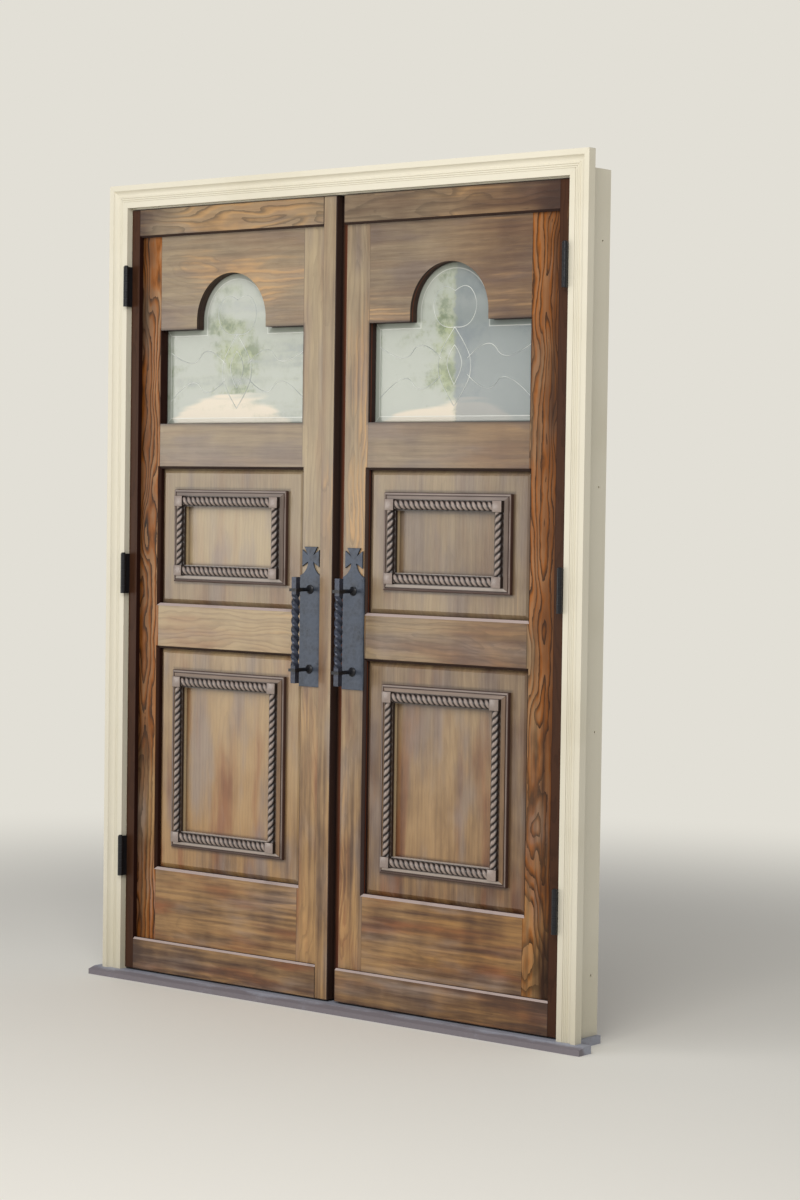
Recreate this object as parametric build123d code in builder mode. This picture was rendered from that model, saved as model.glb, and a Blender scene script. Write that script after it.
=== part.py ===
from build123d import *

import os
from math import cos, pi, sin

# A pair of outward-opening timber doors in a painted frame, seen from outside.
# X runs to the right, Y into the building and Z up. The outer face of the stiles and rails
# is at Y = 0, and the origin is the middle of the sill's underside below that face.
# All sizes are in millimetres.

# Leaves
leaf_width = 864
leaf_height = 2438
leaf_thickness = 57
meeting_gap = 3.5
hinge_gap = 3.2
head_gap = 3
sill_gap = 6
left_stile_width = 118
right_stile_width = 142
bottom_rail_height = 335
lower_panel_height = 704
lock_rail_height = 145
upper_panel_height = 429
glass_rail_height = 143
light_height = 297
edge_bevel = 3
tenon_thickness = 19
tenon_length = 60

# Arched light and its glass
arch_radius = 146
arch_stilt = 27
rebate_width = 12
glass_depth = 30
glass_thickness = 8
glass_clearance = 2
glass_bevel_width = 28
glass_bevel_depth = 2.5
mitre_gap = 0.3

# Raised panels
panel_face_depth = 14
panel_border = 14
panel_groove_depth = 12
tongue_thickness = 12
tongue_length = 10
arris_bevel = 8

# Raised boards planted on the outside
strip_thickness = 16
top_band_height = 88
bottom_band_height = 101
hinge_strip_width = 35
meeting_strip_width = 51
strip_arris = 2
band_bevel = 6
meeting_rebate_width = 27
meeting_rebate_depth = 12.5

# Panel mouldings with their rope-twist rods
moulding_side_margin = 64
moulding_head_margin = 66
moulding_foot_margin = 71
moulding_slope_width = 19
moulding_seat_width = 34
moulding_thickness = 20
bead_width = 7
bead_height = 12
bead_round = 2.5
quirk_width = 1.5
quirk_depth = 2
corner_block_height = 14
corner_block_arris = 1.5
rod_radius = 12
rod_valley_radius = 8.6
rod_shoulder_radius = 11.2
strand_pitch = 24
strand_count = 2
rod_end_gap = 0.2

# Pull handles. Points of the plate's head are half widths and drops from its top.
pull_bottom = 950
plate_height = 428
plate_width = 84
plate_thickness = 6
plate_edge = 1
head_top_half = 26
head_notch = (12, 24)
head_arm_half = 34
head_arm_top = 9
head_arm_bottom = 61
head_neck = (10, 46)
shoulder_bend = (20, 72)
shoulder_drop = 88
pull_reach = 66
bar_size = 18
bar_top_drop = 91
bar_length = 323
twist_length = 218
twist_quarter = 26.6
top_post_drop = 130
post_spacing = 244
post_base_radius = 14
post_rim = 2
post_waist = (8.7, 7.7)
post_waist_end = 18
post_stem_radius = 6
post_swell = (7, 3)
post_swell_length = 8
eye_size = 28
eye_height = 9
pull_bolt_radius = 4
pull_bolt_clearance = 0.05
pull_bolt_hole_radius = 4.5
pull_bolt_grip = 20
pull_bolt_head_radius = 10
pull_bolt_head_height = 5

# Hinges, three on each leaf
hinge_heights = (363, 1275, 2194)
hinge_length = 127
hinge_plate_thickness = 3
hinge_plate_inset = 25
knuckle_radius = 8.5
knuckle_count = 5
knuckle_gap = 0.4
pin_radius = 4
pin_clearance = 0.05
pin_head_radius = 7
pin_head_height = 4
pin_reach = 24.5

# Frame
jamb_thickness = 32
jamb_front = -9
jamb_back = 131
stop_gap = 2.5
stop_depth = 13
kerf_width = 2.6
kerf_depth = 8
seal_width = 8
seal_clearance = 0.3
seal_fin_length = 7
fixing_radius = 3.5
fixing_first = 200
fixing_spacing = 700
fixing_count = 4

casing_reveal = 4.5
casing_flat_width = 19
casing_flat_thickness = 22
reed_width = 6
reed_count = 3
reed_drop = 2.5
cove_width = 18
cove_bend = (10.8, 2.6)
casing_band_width = 17
casing_band_thickness = 30

sill_height = 24
sill_front = -68
sill_nose_height = 16
sill_slope_back = -40
sill_horn = 35
sill_rear_overhang = 45
sill_stop_height = 14
sill_kerf_rise = 9

# Flush bolts in the right leaf's meeting edge
bolt_radius = 6
bolt_clearance = 0.05
bolt_length = 300
bolt_inset = 20
bolt_depth = 36
bolt_travel = 15
guide_width = 20
guide_length = 120
guide_thickness = 3
guide_offset = 3.5
pocket_clearance = 2
thumb_size = 10
slot_end_clearance = 1
slot_side_clearance = 0.5
keeper_width = 26
keeper_thickness = 2
keeper_hole_radius = 7
head_keeper_hole = 24
sill_keeper_hole = 17

# Sizes that follow from the ones above
opening_width = leaf_width - left_stile_width - right_stile_width
half_frame = leaf_width + meeting_gap / 2 + hinge_gap
leaf_bottom = sill_height + sill_gap
leaf_top = leaf_bottom + leaf_height
head_underside = leaf_top + head_gap
stop_front = leaf_thickness + stop_gap

lower_panel_bottom = leaf_bottom + bottom_rail_height
lower_panel_top = lower_panel_bottom + lower_panel_height
upper_panel_bottom = lower_panel_top + lock_rail_height
upper_panel_top = upper_panel_bottom + upper_panel_height
light_bottom = upper_panel_top + glass_rail_height
light_shoulder = light_bottom + light_height
arch_centre = light_shoulder + arch_stilt
panel_openings = {
    "lower": (lower_panel_bottom, lower_panel_top),
    "upper": (upper_panel_bottom, upper_panel_top),
}

moulding_width = moulding_slope_width + moulding_seat_width
seat_y = panel_face_depth - moulding_thickness
pull_top = leaf_bottom + pull_bottom + plate_height
post_heights = (pull_top - top_post_drop, pull_top - top_post_drop - post_spacing)
bar_y = -plate_thickness - pull_reach
pin_y = -strip_thickness - pin_reach
casing_width = casing_flat_width + reed_count * reed_width + cove_width + casing_band_width
casing_inner = half_frame + casing_reveal
sides = ("left", "right")
outward = {"left": -1, "right": 1}
leaf_left_edge = {"left": -meeting_gap / 2 - leaf_width, "right": meeting_gap / 2}

os.makedirs("parts", exist_ok=True)


def save(piece, name):
    """Label a finished piece and write its file."""
    piece.part.label = name
    export_step(piece.part, f"parts/{name}.step")


def front(y):
    """The plane at depth y, drawn as seen from outside and extruded outwards."""
    return Plane.XZ.offset(-y)


def slab(x, y, z, mode=Mode.ADD):
    """A box between two corners, given as a pair of limits along each axis."""
    middle = ((x[0] + x[1]) / 2, (y[0] + y[1]) / 2, (z[0] + z[1]) / 2)
    with Locations(middle):
        Box(abs(x[1] - x[0]), y[1] - y[0], z[1] - z[0], mode=mode)


def hole_along_y(x, z, radius, y):
    """A round hole through the span y at x, z."""
    with BuildSketch(front(y[1])) as outline:
        with Locations((x, z)):
            Circle(radius)
    extrude(outline.sketch, amount=y[1] - y[0], mode=Mode.SUBTRACT)


def rod_along_z(x, y, radius, z, mode=Mode.ADD):
    """A round rod, or a hole, that stands on x, y and spans z."""
    with BuildSketch(Plane.XY.offset(z[0])) as outline:
        with Locations((x, y)):
            Circle(radius)
    extrude(outline.sketch, amount=z[1] - z[0], mode=mode)


def bevel_round_panel(x, z):
    """Cut the bevelled arris round a panel opening, on both faces of the leaf."""
    middle = ((x[0] + x[1]) / 2, (z[0] + z[1]) / 2)
    width, height = x[1] - x[0], z[1] - z[0]
    for face, depth in ((0, arris_bevel), (leaf_thickness, leaf_thickness - arris_bevel)):
        with BuildSketch(front(face)) as mouth:
            with Locations(middle):
                Rectangle(width + 2 * arris_bevel, height + 2 * arris_bevel)
        with BuildSketch(front(depth)) as throat:
            with Locations(middle):
                Rectangle(width, height)
        loft((mouth.sketch, throat.sketch), mode=Mode.SUBTRACT)


def arched_outline(x, z_low, radius):
    """The arch and its straight legs down to z_low, in the open sketch."""
    with Locations((x, (z_low + arch_centre) / 2)):
        Rectangle(2 * radius, arch_centre - z_low)
    with Locations((x, arch_centre)):
        Circle(radius)


def light_outline(x, margin):
    """The whole light, a rectangle with an arch on it, grown by margin."""
    low, high = light_bottom - margin, light_shoulder + margin
    middle = (x[0] + x[1]) / 2
    with Locations((middle, (low + high) / 2)):
        Rectangle(x[1] - x[0] + 2 * margin, high - low)
    arched_outline(middle, light_bottom, arch_radius + margin)


# Stiles and rails


def tongue_span():
    """The depths between which panels' tongues and their grooves lie."""
    middle = leaf_thickness / 2
    return middle - tongue_thickness / 2, middle + tongue_thickness / 2


def tenon_span():
    """The depths between which tenons and mortises lie."""
    middle = leaf_thickness / 2
    return middle - tenon_thickness / 2, middle + tenon_thickness / 2


def rail_tenons():
    """The height span of the tenons of each rail, clear of grooves and rebates."""
    return (
        (leaf_bottom + panel_groove_depth, lower_panel_bottom - panel_groove_depth),
        (lower_panel_top + panel_groove_depth, upper_panel_bottom - panel_groove_depth),
        (upper_panel_top + panel_groove_depth, light_bottom - rebate_width),
        (light_shoulder + rebate_width, leaf_top - panel_groove_depth),
    )


def cut_stile_joints(inner_x, towards):
    """Mortises, panel grooves, the glass rebate and the bevels along a stile's inner edge."""
    for z in rail_tenons():
        slab(sorted((inner_x, inner_x + towards * tenon_length)), tenon_span(), z, Mode.SUBTRACT)
    for low, high in panel_openings.values():
        groove_z = (low - panel_groove_depth, high + panel_groove_depth)
        groove_x = sorted((inner_x, inner_x + towards * panel_groove_depth))
        slab(groove_x, tongue_span(), groove_z, Mode.SUBTRACT)
        bevel_round_panel(sorted((inner_x, inner_x - towards * opening_width)), (low, high))
    rebate_x = sorted((inner_x, inner_x + towards * rebate_width))
    rebate_z = (light_bottom - rebate_width, light_shoulder + rebate_width)
    slab(rebate_x, (glass_depth, leaf_thickness), rebate_z, Mode.SUBTRACT)


def cut_hinge_pockets(edge_x, towards):
    """Pockets for the hinge leaves in an edge, from the strip's face to the hinge's inset."""
    pocket_x = sorted((edge_x, edge_x + towards * hinge_plate_thickness))
    for height in hinge_heights:
        middle = leaf_bottom + height
        pocket_z = (middle - hinge_length / 2, middle + hinge_length / 2)
        slab(pocket_x, (-strip_thickness, hinge_plate_inset), pocket_z, Mode.SUBTRACT)


def bevel_meeting_edge(edge_x, inwards):
    """Plane the meeting edge back towards the inside, so that the leaf swings clear."""
    with BuildSketch(Plane.XY.offset(leaf_bottom)) as wedge:
        with BuildLine():
            Polyline(
                (edge_x, 0),
                (edge_x, leaf_thickness),
                (edge_x + inwards * edge_bevel, leaf_thickness),
                close=True,
            )
        make_face()
    extrude(wedge.sketch, amount=leaf_height, mode=Mode.SUBTRACT)


def make_stiles(side, opening_x, pull_x):
    """The hinge stile and the meeting stile of one leaf."""
    left_edge = leaf_left_edge[side]
    spans = {
        "left": (left_edge, opening_x[0]),
        "right": (opening_x[1], left_edge + leaf_width),
    }
    inner = {"left": (opening_x[0], -1), "right": (opening_x[1], 1)}
    hinge_side = side
    meeting_side = "right" if side == "left" else "left"

    with BuildPart() as hinge_stile:
        slab(spans[hinge_side], (0, leaf_thickness), (leaf_bottom, leaf_top))
        cut_stile_joints(*inner[hinge_side])
        hinge_edge = spans[hinge_side][0 if side == "left" else 1]
        cut_hinge_pockets(hinge_edge, -outward[side])
    save(hinge_stile, f"{side}_hinge_stile")

    with BuildPart() as meeting_stile:
        slab(spans[meeting_side], (0, leaf_thickness), (leaf_bottom, leaf_top))
        cut_stile_joints(*inner[meeting_side])
        meeting_edge = spans[meeting_side][1 if side == "left" else 0]
        bevel_meeting_edge(meeting_edge, outward[side])
        for z in post_heights:
            hole_along_y(pull_x, z, pull_bolt_hole_radius, (0, leaf_thickness))
        if side == "right":
            rebate_x = (meeting_edge, meeting_edge + meeting_rebate_width)
            slab(rebate_x, (0, meeting_rebate_depth), (leaf_bottom, leaf_top), Mode.SUBTRACT)
            cut_flush_bolt_seats(meeting_edge)
    save(meeting_stile, f"{side}_meeting_stile")


def make_rails(side, opening_x):
    """The four rails of one leaf, each with a tenon at both ends."""
    spans = {
        "bottom_rail": (leaf_bottom, lower_panel_bottom),
        "lock_rail": (lower_panel_top, upper_panel_bottom),
        "glass_rail": (upper_panel_top, light_bottom),
        "top_rail": (light_shoulder, leaf_top),
    }
    for (name, z), tenon_z in zip(spans.items(), rail_tenons()):
        with BuildPart() as rail:
            slab(opening_x, (0, leaf_thickness), z)
            tenon_x = (opening_x[0] - tenon_length, opening_x[1] + tenon_length)
            slab(tenon_x, tenon_span(), tenon_z)
            for low, high in panel_openings.values():
                groove_z = (low - panel_groove_depth, high + panel_groove_depth)
                slab(opening_x, tongue_span(), groove_z, Mode.SUBTRACT)
                bevel_round_panel(opening_x, (low, high))
            with BuildSketch(front(leaf_thickness)):
                light_outline(opening_x, 0)
            extrude(amount=leaf_thickness, mode=Mode.SUBTRACT)
            with BuildSketch(front(leaf_thickness)):
                light_outline(opening_x, rebate_width)
            extrude(amount=leaf_thickness - glass_depth, mode=Mode.SUBTRACT)
        save(rail, f"{side}_{name}")


# Panels, mouldings and rope-twist rods


def make_panels(side, opening_x):
    """The two raised panels of one leaf, each with a border that slopes back to its tongues."""
    border_drop = tongue_span()[0] - panel_face_depth
    for place, (low, high) in panel_openings.items():
        with BuildPart() as panel:
            slab(opening_x, (panel_face_depth, leaf_thickness - panel_face_depth), (low, high))
            for index in (0, -1):
                face = panel.faces().sort_by(Axis.Y)[index]
                chamfer(face.edges(), panel_border, border_drop, reference=face)
            tongue_x = (opening_x[0] - tongue_length, opening_x[1] + tongue_length)
            slab(tongue_x, tongue_span(), (low - tongue_length, high + tongue_length))
        save(panel, f"{side}_{place}_panel")


def mitred_length(length, corner, along, inward, outline):
    """A length of moulding on an outer corner, cut at 45 degrees at both ends.

    The outline gives the section as points across the moulding and out from its back.
    """
    section_plane = Plane(origin=corner, x_dir=inward, z_dir=along)
    width = max(point[0] for point in outline)
    top = max(point[1] for point in outline)
    flat_plane = Plane(origin=corner, x_dir=along, z_dir=section_plane.y_dir)
    across = 1 if flat_plane.y_dir.dot(Vector(*inward)) > 0 else -1
    with BuildPart() as piece:
        with BuildSketch(section_plane):
            with BuildLine():
                Polyline(*outline, close=True)
            make_face()
        extrude(amount=length)
        with BuildSketch(flat_plane):
            with BuildLine():
                Polyline(
                    (mitre_gap, 0),
                    (length - mitre_gap, 0),
                    (length - mitre_gap - width, across * width),
                    (mitre_gap + width, across * width),
                    close=True,
                )
            make_face()
        extrude(amount=top, mode=Mode.INTERSECT)
    return piece.part


def frame_lengths(x, z, y, outline):
    """The four mitred lengths of a frame with outer limits x and z, lying on depth y."""
    width, height = x[1] - x[0], z[1] - z[0]
    return (
        mitred_length(width, (x[0], y, z[0]), (1, 0, 0), (0, 0, 1), outline),
        mitred_length(width, (x[1], y, z[1]), (-1, 0, 0), (0, 0, -1), outline),
        mitred_length(height, (x[0], y, z[1]), (0, 0, -1), (1, 0, 0), outline),
        mitred_length(height, (x[1], y, z[0]), (0, 0, 1), (-1, 0, 0), outline),
    )


def moulding_outline():
    """A bead along the outer edge, a quirk, a slope up to the seat, and the seat itself."""
    quirk_end = bead_width + quirk_width
    return (
        (0, 0),
        (0, bead_height - bead_round),
        (bead_round / 3, bead_height - bead_round / 3),
        (bead_round, bead_height),
        (bead_width, bead_height),
        (bead_width, bead_height - quirk_depth),
        (quirk_end, bead_height - quirk_depth),
        (quirk_end, bead_height),
        (moulding_slope_width, moulding_thickness),
        (moulding_width, moulding_thickness),
        (moulding_width, 0),
    )


def rope_rod(length):
    """A rod that stands on the origin with its flat back at Y = 0, twisted from two strands.

    Rows of points follow the strands round the front half of the rod. Each strand has a
    valley, a shoulder, a crest and a shoulder, and the ends are cut square.
    """
    segments = 5
    row_radii = (rod_valley_radius, rod_shoulder_radius, rod_radius, rod_shoulder_radius)
    row_step = strand_pitch / len(row_radii)
    lead = strand_pitch * strand_count
    first = -len(row_radii)
    last = int((length + lead / 2) / row_step) + len(row_radii)

    def point(row, segment):
        turn = pi * segment / segments
        radius = row_radii[row % len(row_radii)]
        height = row * row_step + lead / 2 * (1 - segment / segments) - lead / 4
        return Vector(radius * cos(turn), -radius * sin(turn), height)

    faces = []
    for row in range(first, last):
        for segment in range(segments):
            a, b = point(row, segment), point(row, segment + 1)
            c, d = point(row + 1, segment + 1), point(row + 1, segment)
            faces.append(Face(Wire.make_polygon((a, b, c))))
            faces.append(Face(Wire.make_polygon((a, c, d))))
    for row in (first, last):
        ends = [point(row, segment) for segment in range(segments + 1)]
        hub = (ends[0] + ends[-1]) / 2
        for a, b in zip(ends, ends[1:]):
            faces.append(Face(Wire.make_polygon((a, b, hub))))
    near = [point(row, 0) for row in range(first, last + 1)]
    far = [point(row, segments) for row in range(last, first - 1, -1)]
    low_hub = (near[0] + far[-1]) / 2
    high_hub = (near[-1] + far[0]) / 2
    faces.append(Face(Wire.make_polygon((*near, high_hub, *far, low_hub))))
    blank = Solid(Shell(faces))

    with BuildPart() as rod:
        add(blank)
        split(bisect_by=Plane.XY.offset(rod_end_gap), keep=Keep.TOP)
        split(bisect_by=Plane.XY.offset(length - rod_end_gap), keep=Keep.BOTTOM)
    return rod.part


def make_mouldings(side, opening_x):
    """The mitred moulding on each panel, with corner blocks and rope rods on its seat."""
    for place, (low, high) in panel_openings.items():
        x = (opening_x[0] + moulding_side_margin, opening_x[1] - moulding_side_margin)
        z = (low + moulding_foot_margin, high - moulding_head_margin)
        with BuildPart() as moulding:
            for length in frame_lengths(x, z, panel_face_depth, moulding_outline()):
                add(length)
        save(moulding, f"{side}_{place}_moulding")

        inset = moulding_slope_width + moulding_seat_width / 2
        block_x = (x[0] + inset, x[1] - inset)
        block_z = (z[0] + inset, z[1] - inset)
        across = rope_rods[place, "across"]
        upright = rope_rods[place, "upright"]
        with BuildPart() as trim:
            for bx in block_x:
                for bz in block_z:
                    with Locations((bx, seat_y - corner_block_height / 2, bz)):
                        Box(moulding_seat_width, corner_block_height, moulding_seat_width)
            chamfer(trim.faces().group_by(Axis.Y)[0].edges(), corner_block_arris)
            for bx in block_x:
                start = block_z[0] + moulding_seat_width / 2
                add(upright.moved(Location((bx, seat_y, start))))
            for bz in block_z:
                start = block_x[0] + moulding_seat_width / 2
                add(across.moved(Location((start, seat_y, bz), (0, 90, 0))))
        save(trim, f"{side}_{place}_rope_trim")


# Boards planted on the outside


def make_strips(side, opening_x):
    """The bands across the top and bottom and the strips up the edges of one leaf."""
    left_edge = leaf_left_edge[side]
    right_edge = left_edge + leaf_width
    board_y = (-strip_thickness, 0)
    board_z = (leaf_bottom, leaf_top)
    if side == "left":
        hinge_edge = left_edge
        band_x = (left_edge + hinge_strip_width, right_edge - meeting_strip_width)
    else:
        hinge_edge = right_edge
        band_x = (left_edge + meeting_rebate_width, right_edge - hinge_strip_width)

    with BuildPart() as hinge_strip:
        slab(sorted((hinge_edge, hinge_edge - outward[side] * hinge_strip_width)), board_y, board_z)
        cut_hinge_pockets(hinge_edge, -outward[side])
    save(hinge_strip, f"{side}_hinge_strip")

    if side == "left":
        with BuildPart() as meeting_strip:
            slab((right_edge - meeting_strip_width, right_edge), board_y, board_z)
            uprights = meeting_strip.edges().filter_by(Axis.Z)
            chamfer(uprights.group_by(Axis.Y)[0], strip_arris)
        save(meeting_strip, "left_meeting_strip")

    with BuildPart() as top_band:
        slab(band_x, board_y, (leaf_top - top_band_height, leaf_top))
        lower_arris = top_band.edges().filter_by(Axis.X).group_by(Axis.Z)[0].sort_by(Axis.Y)[0]
        chamfer(lower_arris, band_bevel)
    save(top_band, f"{side}_top_band")

    with BuildPart() as bottom_band:
        slab(band_x, board_y, (leaf_bottom, leaf_bottom + bottom_band_height))
        upper_arris = bottom_band.edges().filter_by(Axis.X).group_by(Axis.Z)[-1].sort_by(Axis.Y)[0]
        chamfer(upper_arris, band_bevel)
    save(bottom_band, f"{side}_bottom_band")


# Glass


def make_glass(side, opening_x):
    """The bevelled pane of the arched light and the beads behind it."""
    glass_margin = rebate_width - glass_clearance
    with BuildPart() as glass:
        with BuildSketch(front(glass_depth + glass_thickness)):
            light_outline(opening_x, glass_margin)
        extrude(amount=glass_thickness)
        outer_face = glass.faces().sort_by(Axis.Y)[0]
        chamfer(outer_face.edges(), glass_bevel_width, glass_bevel_depth, reference=outer_face)
    save(glass, f"{side}_glass")

    bead_thickness = leaf_thickness - glass_depth - glass_thickness
    middle = (opening_x[0] + opening_x[1]) / 2
    mitres = (
        (opening_x[0] - rebate_width / 2, light_bottom - rebate_width / 2, 45),
        (opening_x[1] + rebate_width / 2, light_bottom - rebate_width / 2, -45),
        (opening_x[0] - rebate_width / 2, light_shoulder + rebate_width / 2, -45),
        (opening_x[1] + rebate_width / 2, light_shoulder + rebate_width / 2, 45),
        (middle - arch_radius - rebate_width / 2, light_shoulder + rebate_width / 2, -45),
        (middle + arch_radius + rebate_width / 2, light_shoulder + rebate_width / 2, 45),
    )
    with BuildPart() as beads:
        with BuildSketch(front(leaf_thickness)):
            light_outline(opening_x, rebate_width)
        extrude(amount=bead_thickness)
        with BuildSketch(front(leaf_thickness)):
            light_outline(opening_x, 0)
        extrude(amount=bead_thickness, mode=Mode.SUBTRACT)
        for x, z, angle in mitres:
            with Locations(Location((x, leaf_thickness, z), (0, -angle, 0))):
                Box(2 * rebate_width, 3 * bead_thickness, mitre_gap, mode=Mode.SUBTRACT)
    save(beads, f"{side}_glazing_beads")


# Pull handles


def make_pull(side, pull_x):
    """The iron plate, the twisted bar, its two posts and their through bolts."""
    half_plate = plate_width / 2
    neck = (head_neck[0], -head_neck[1])
    shoulder = (half_plate, -shoulder_drop)
    with BuildPart() as plate:
        with BuildSketch(Plane(origin=(pull_x, 0, pull_top), x_dir=(1, 0, 0), z_dir=(0, -1, 0))):
            with BuildLine():
                Polyline(
                    (0, 0),
                    (head_top_half, 0),
                    (head_notch[0], -head_notch[1]),
                    (head_arm_half, -head_arm_top),
                    (head_arm_half, -head_arm_bottom),
                    neck,
                )
                ThreePointArc(neck, (shoulder_bend[0], -shoulder_bend[1]), shoulder)
                Polyline(shoulder, (half_plate, -plate_height), (0, -plate_height))
                mirror(about=Plane.YZ)
            make_face()
        extrude(amount=plate_thickness)
        chamfer(plate.faces().sort_by(Axis.Y)[0].edges(), plate_edge)
        for z in post_heights:
            hole_along_y(pull_x, z, pull_bolt_hole_radius, (-plate_thickness, 0))
    save(plate, f"{side}_pull_plate")

    stem_end = pull_reach - eye_size / 2
    rim = (post_base_radius, -post_rim)
    waist_end = (post_stem_radius, -post_waist_end)
    swell_start = (post_stem_radius, post_swell_length - stem_end)
    swell_bend = (post_swell[0], post_swell[1] - stem_end)
    with BuildPart() as posts:
        for z in post_heights:
            foot = Plane(origin=(pull_x, -plate_thickness, z), x_dir=(1, 0, 0), z_dir=(0, 0, 1))
            with BuildSketch(foot):
                with BuildLine():
                    Polyline((0, 0), (post_base_radius, 0), rim)
                    ThreePointArc(rim, (post_waist[0], -post_waist[1]), waist_end)
                    Line(waist_end, swell_start)
                    ThreePointArc(swell_start, swell_bend, (eye_height, -stem_end))
                    Polyline((eye_height, -stem_end), (0, -stem_end), (0, 0))
                make_face()
            revolve(axis=Axis((pull_x, 0, z), (0, 1, 0)))
            with Locations((pull_x, bar_y, z)):
                Box(eye_size, eye_size, eye_height)
                Box(bar_size, bar_size, eye_height, mode=Mode.SUBTRACT)
            socket_y = (-plate_thickness - pull_bolt_grip, -plate_thickness)
            hole_along_y(pull_x, z, pull_bolt_radius + pull_bolt_clearance, socket_y)
    save(posts, f"{side}_pull_posts")

    bar_top = pull_top - bar_top_drop
    bar_bottom = bar_top - bar_length
    twist_bottom = (post_heights[0] + post_heights[1] - twist_length) / 2
    twist_angle = -90 * round(twist_length / twist_quarter)
    square = Rectangle(bar_size, bar_size, mode=Mode.PRIVATE).face()
    twisted = Solid.extrude_linear_with_rotation(square, (0, 0, 0), (0, 0, twist_length), twist_angle)
    with BuildPart() as bar:
        add(twisted.moved(Location((pull_x, bar_y, twist_bottom))))
        half = bar_size / 2
        plain_x, plain_y = (pull_x - half, pull_x + half), (bar_y - half, bar_y + half)
        slab(plain_x, plain_y, (bar_bottom, twist_bottom))
        slab(plain_x, plain_y, (twist_bottom + twist_length, bar_top))
    save(bar, f"{side}_pull_bar")

    with BuildPart() as bolts:
        for z in post_heights:
            with BuildSketch(front(leaf_thickness)):
                with Locations((pull_x, z)):
                    Circle(pull_bolt_radius)
            extrude(amount=leaf_thickness + plate_thickness + pull_bolt_grip)
            with BuildSketch(front(leaf_thickness + pull_bolt_head_height)):
                with Locations((pull_x, z)):
                    Circle(pull_bolt_head_radius)
            extrude(amount=pull_bolt_head_height)
        heads = bolts.edges().filter_by(GeomType.CIRCLE).group_by(Axis.Y)[-1]
        chamfer(heads, pull_bolt_head_height / 2)
    save(bolts, f"{side}_pull_bolts")


# Hinges


def knuckle_spans(middle):
    """The height span of each knuckle of one hinge, from the bottom up."""
    step = hinge_length / knuckle_count
    low = middle - hinge_length / 2
    inner = knuckle_gap / 2
    spans = []
    for i in range(knuckle_count):
        start_gap = inner if i > 0 else 0
        end_gap = inner if i < knuckle_count - 1 else 0
        spans.append((low + i * step + start_gap, low + (i + 1) * step - end_gap))
    return spans


def hinge_leaf(pin_x, plate_sign, middle, knuckles):
    """One leaf of a hinge: its plate in the gap's side and its share of the knuckles."""
    near = pin_x + plate_sign * hinge_gap / 2
    far = near + plate_sign * hinge_plate_thickness
    plate_x = sorted((near, far))
    plate_start = pin_y + knuckle_radius + knuckle_gap
    whole = (middle - hinge_length / 2, middle + hinge_length / 2)
    slab(plate_x, (plate_start, hinge_plate_inset), whole)
    for i in knuckles:
        span = knuckle_spans(middle)[i]
        slab(plate_x, (pin_y, plate_start), span)
        rod_along_z(pin_x, pin_y, knuckle_radius, span)
    rod_along_z(pin_x, pin_y, pin_radius + pin_clearance, whole, Mode.SUBTRACT)


def make_hinges():
    """All hinge leaves and pins: three hinges on each side."""
    middles = [leaf_bottom + height for height in hinge_heights]
    pins_x = {side: outward[side] * (half_frame - hinge_gap / 2) for side in sides}
    frame_knuckles = range(0, knuckle_count, 2)
    door_knuckles = range(1, knuckle_count, 2)

    for side in sides:
        with BuildPart() as door_leaves:
            for middle in middles:
                hinge_leaf(pins_x[side], -outward[side], middle, door_knuckles)
        save(door_leaves, f"{side}_hinge_leaves")

    with BuildPart() as frame_leaves:
        for side in sides:
            for middle in middles:
                hinge_leaf(pins_x[side], outward[side], middle, frame_knuckles)
    save(frame_leaves, "hinge_frame_leaves")

    with BuildPart() as pins:
        for side in sides:
            for middle in middles:
                low, high = middle - hinge_length / 2, middle + hinge_length / 2
                rod_along_z(pins_x[side], pin_y, pin_radius, (low, high))
                rod_along_z(pins_x[side], pin_y, pin_head_radius, (high, high + pin_head_height))
        circles = pins.edges().filter_by(GeomType.CIRCLE)
        rims = circles.filter_by(lambda edge: abs(edge.radius - pin_head_radius) < 0.01)
        for middle in middles:
            top = middle + hinge_length / 2 + pin_head_height
            chamfer([rim for rim in rims if abs(rim.center().Z - top) < 0.01], pin_head_height / 2)
    save(pins, "hinge_pins")


# Flush bolts


def bolt_ends():
    """The height span of each flush bolt, drawn back flush with the leaf's end."""
    return {
        "top": (leaf_top - bolt_length, leaf_top),
        "bottom": (leaf_bottom, leaf_bottom + bolt_length),
    }


def guide_spans():
    """The height span of the guide of each flush bolt, round the bolt's inner end."""
    spans = {}
    for name, (low, high) in bolt_ends().items():
        end = low if name == "top" else high
        spans[name] = (end - guide_length / 2, end + guide_length / 2)
    return spans


def thumb_span(name):
    """The height span of the thumb piece at the inner end of a flush bolt."""
    low, high = bolt_ends()[name]
    return (low, low + thumb_size) if name == "top" else (high - thumb_size, high)


def cut_flush_bolt_seats(edge_x):
    """Bores for the flush bolts, and pockets for their guides, in the meeting edge."""
    bolt_x = edge_x + bolt_inset
    for name, (low, high) in bolt_ends().items():
        rod_along_z(bolt_x, bolt_depth, bolt_radius + bolt_clearance, (low, high), Mode.SUBTRACT)
        guide_low, guide_high = guide_spans()[name]
        guide_y = (bolt_depth - guide_width / 2, bolt_depth + guide_width / 2)
        pocket_x = (edge_x, edge_x + bolt_inset + bolt_radius + pocket_clearance)
        slab(pocket_x, guide_y, (guide_low, guide_high), Mode.SUBTRACT)


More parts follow.
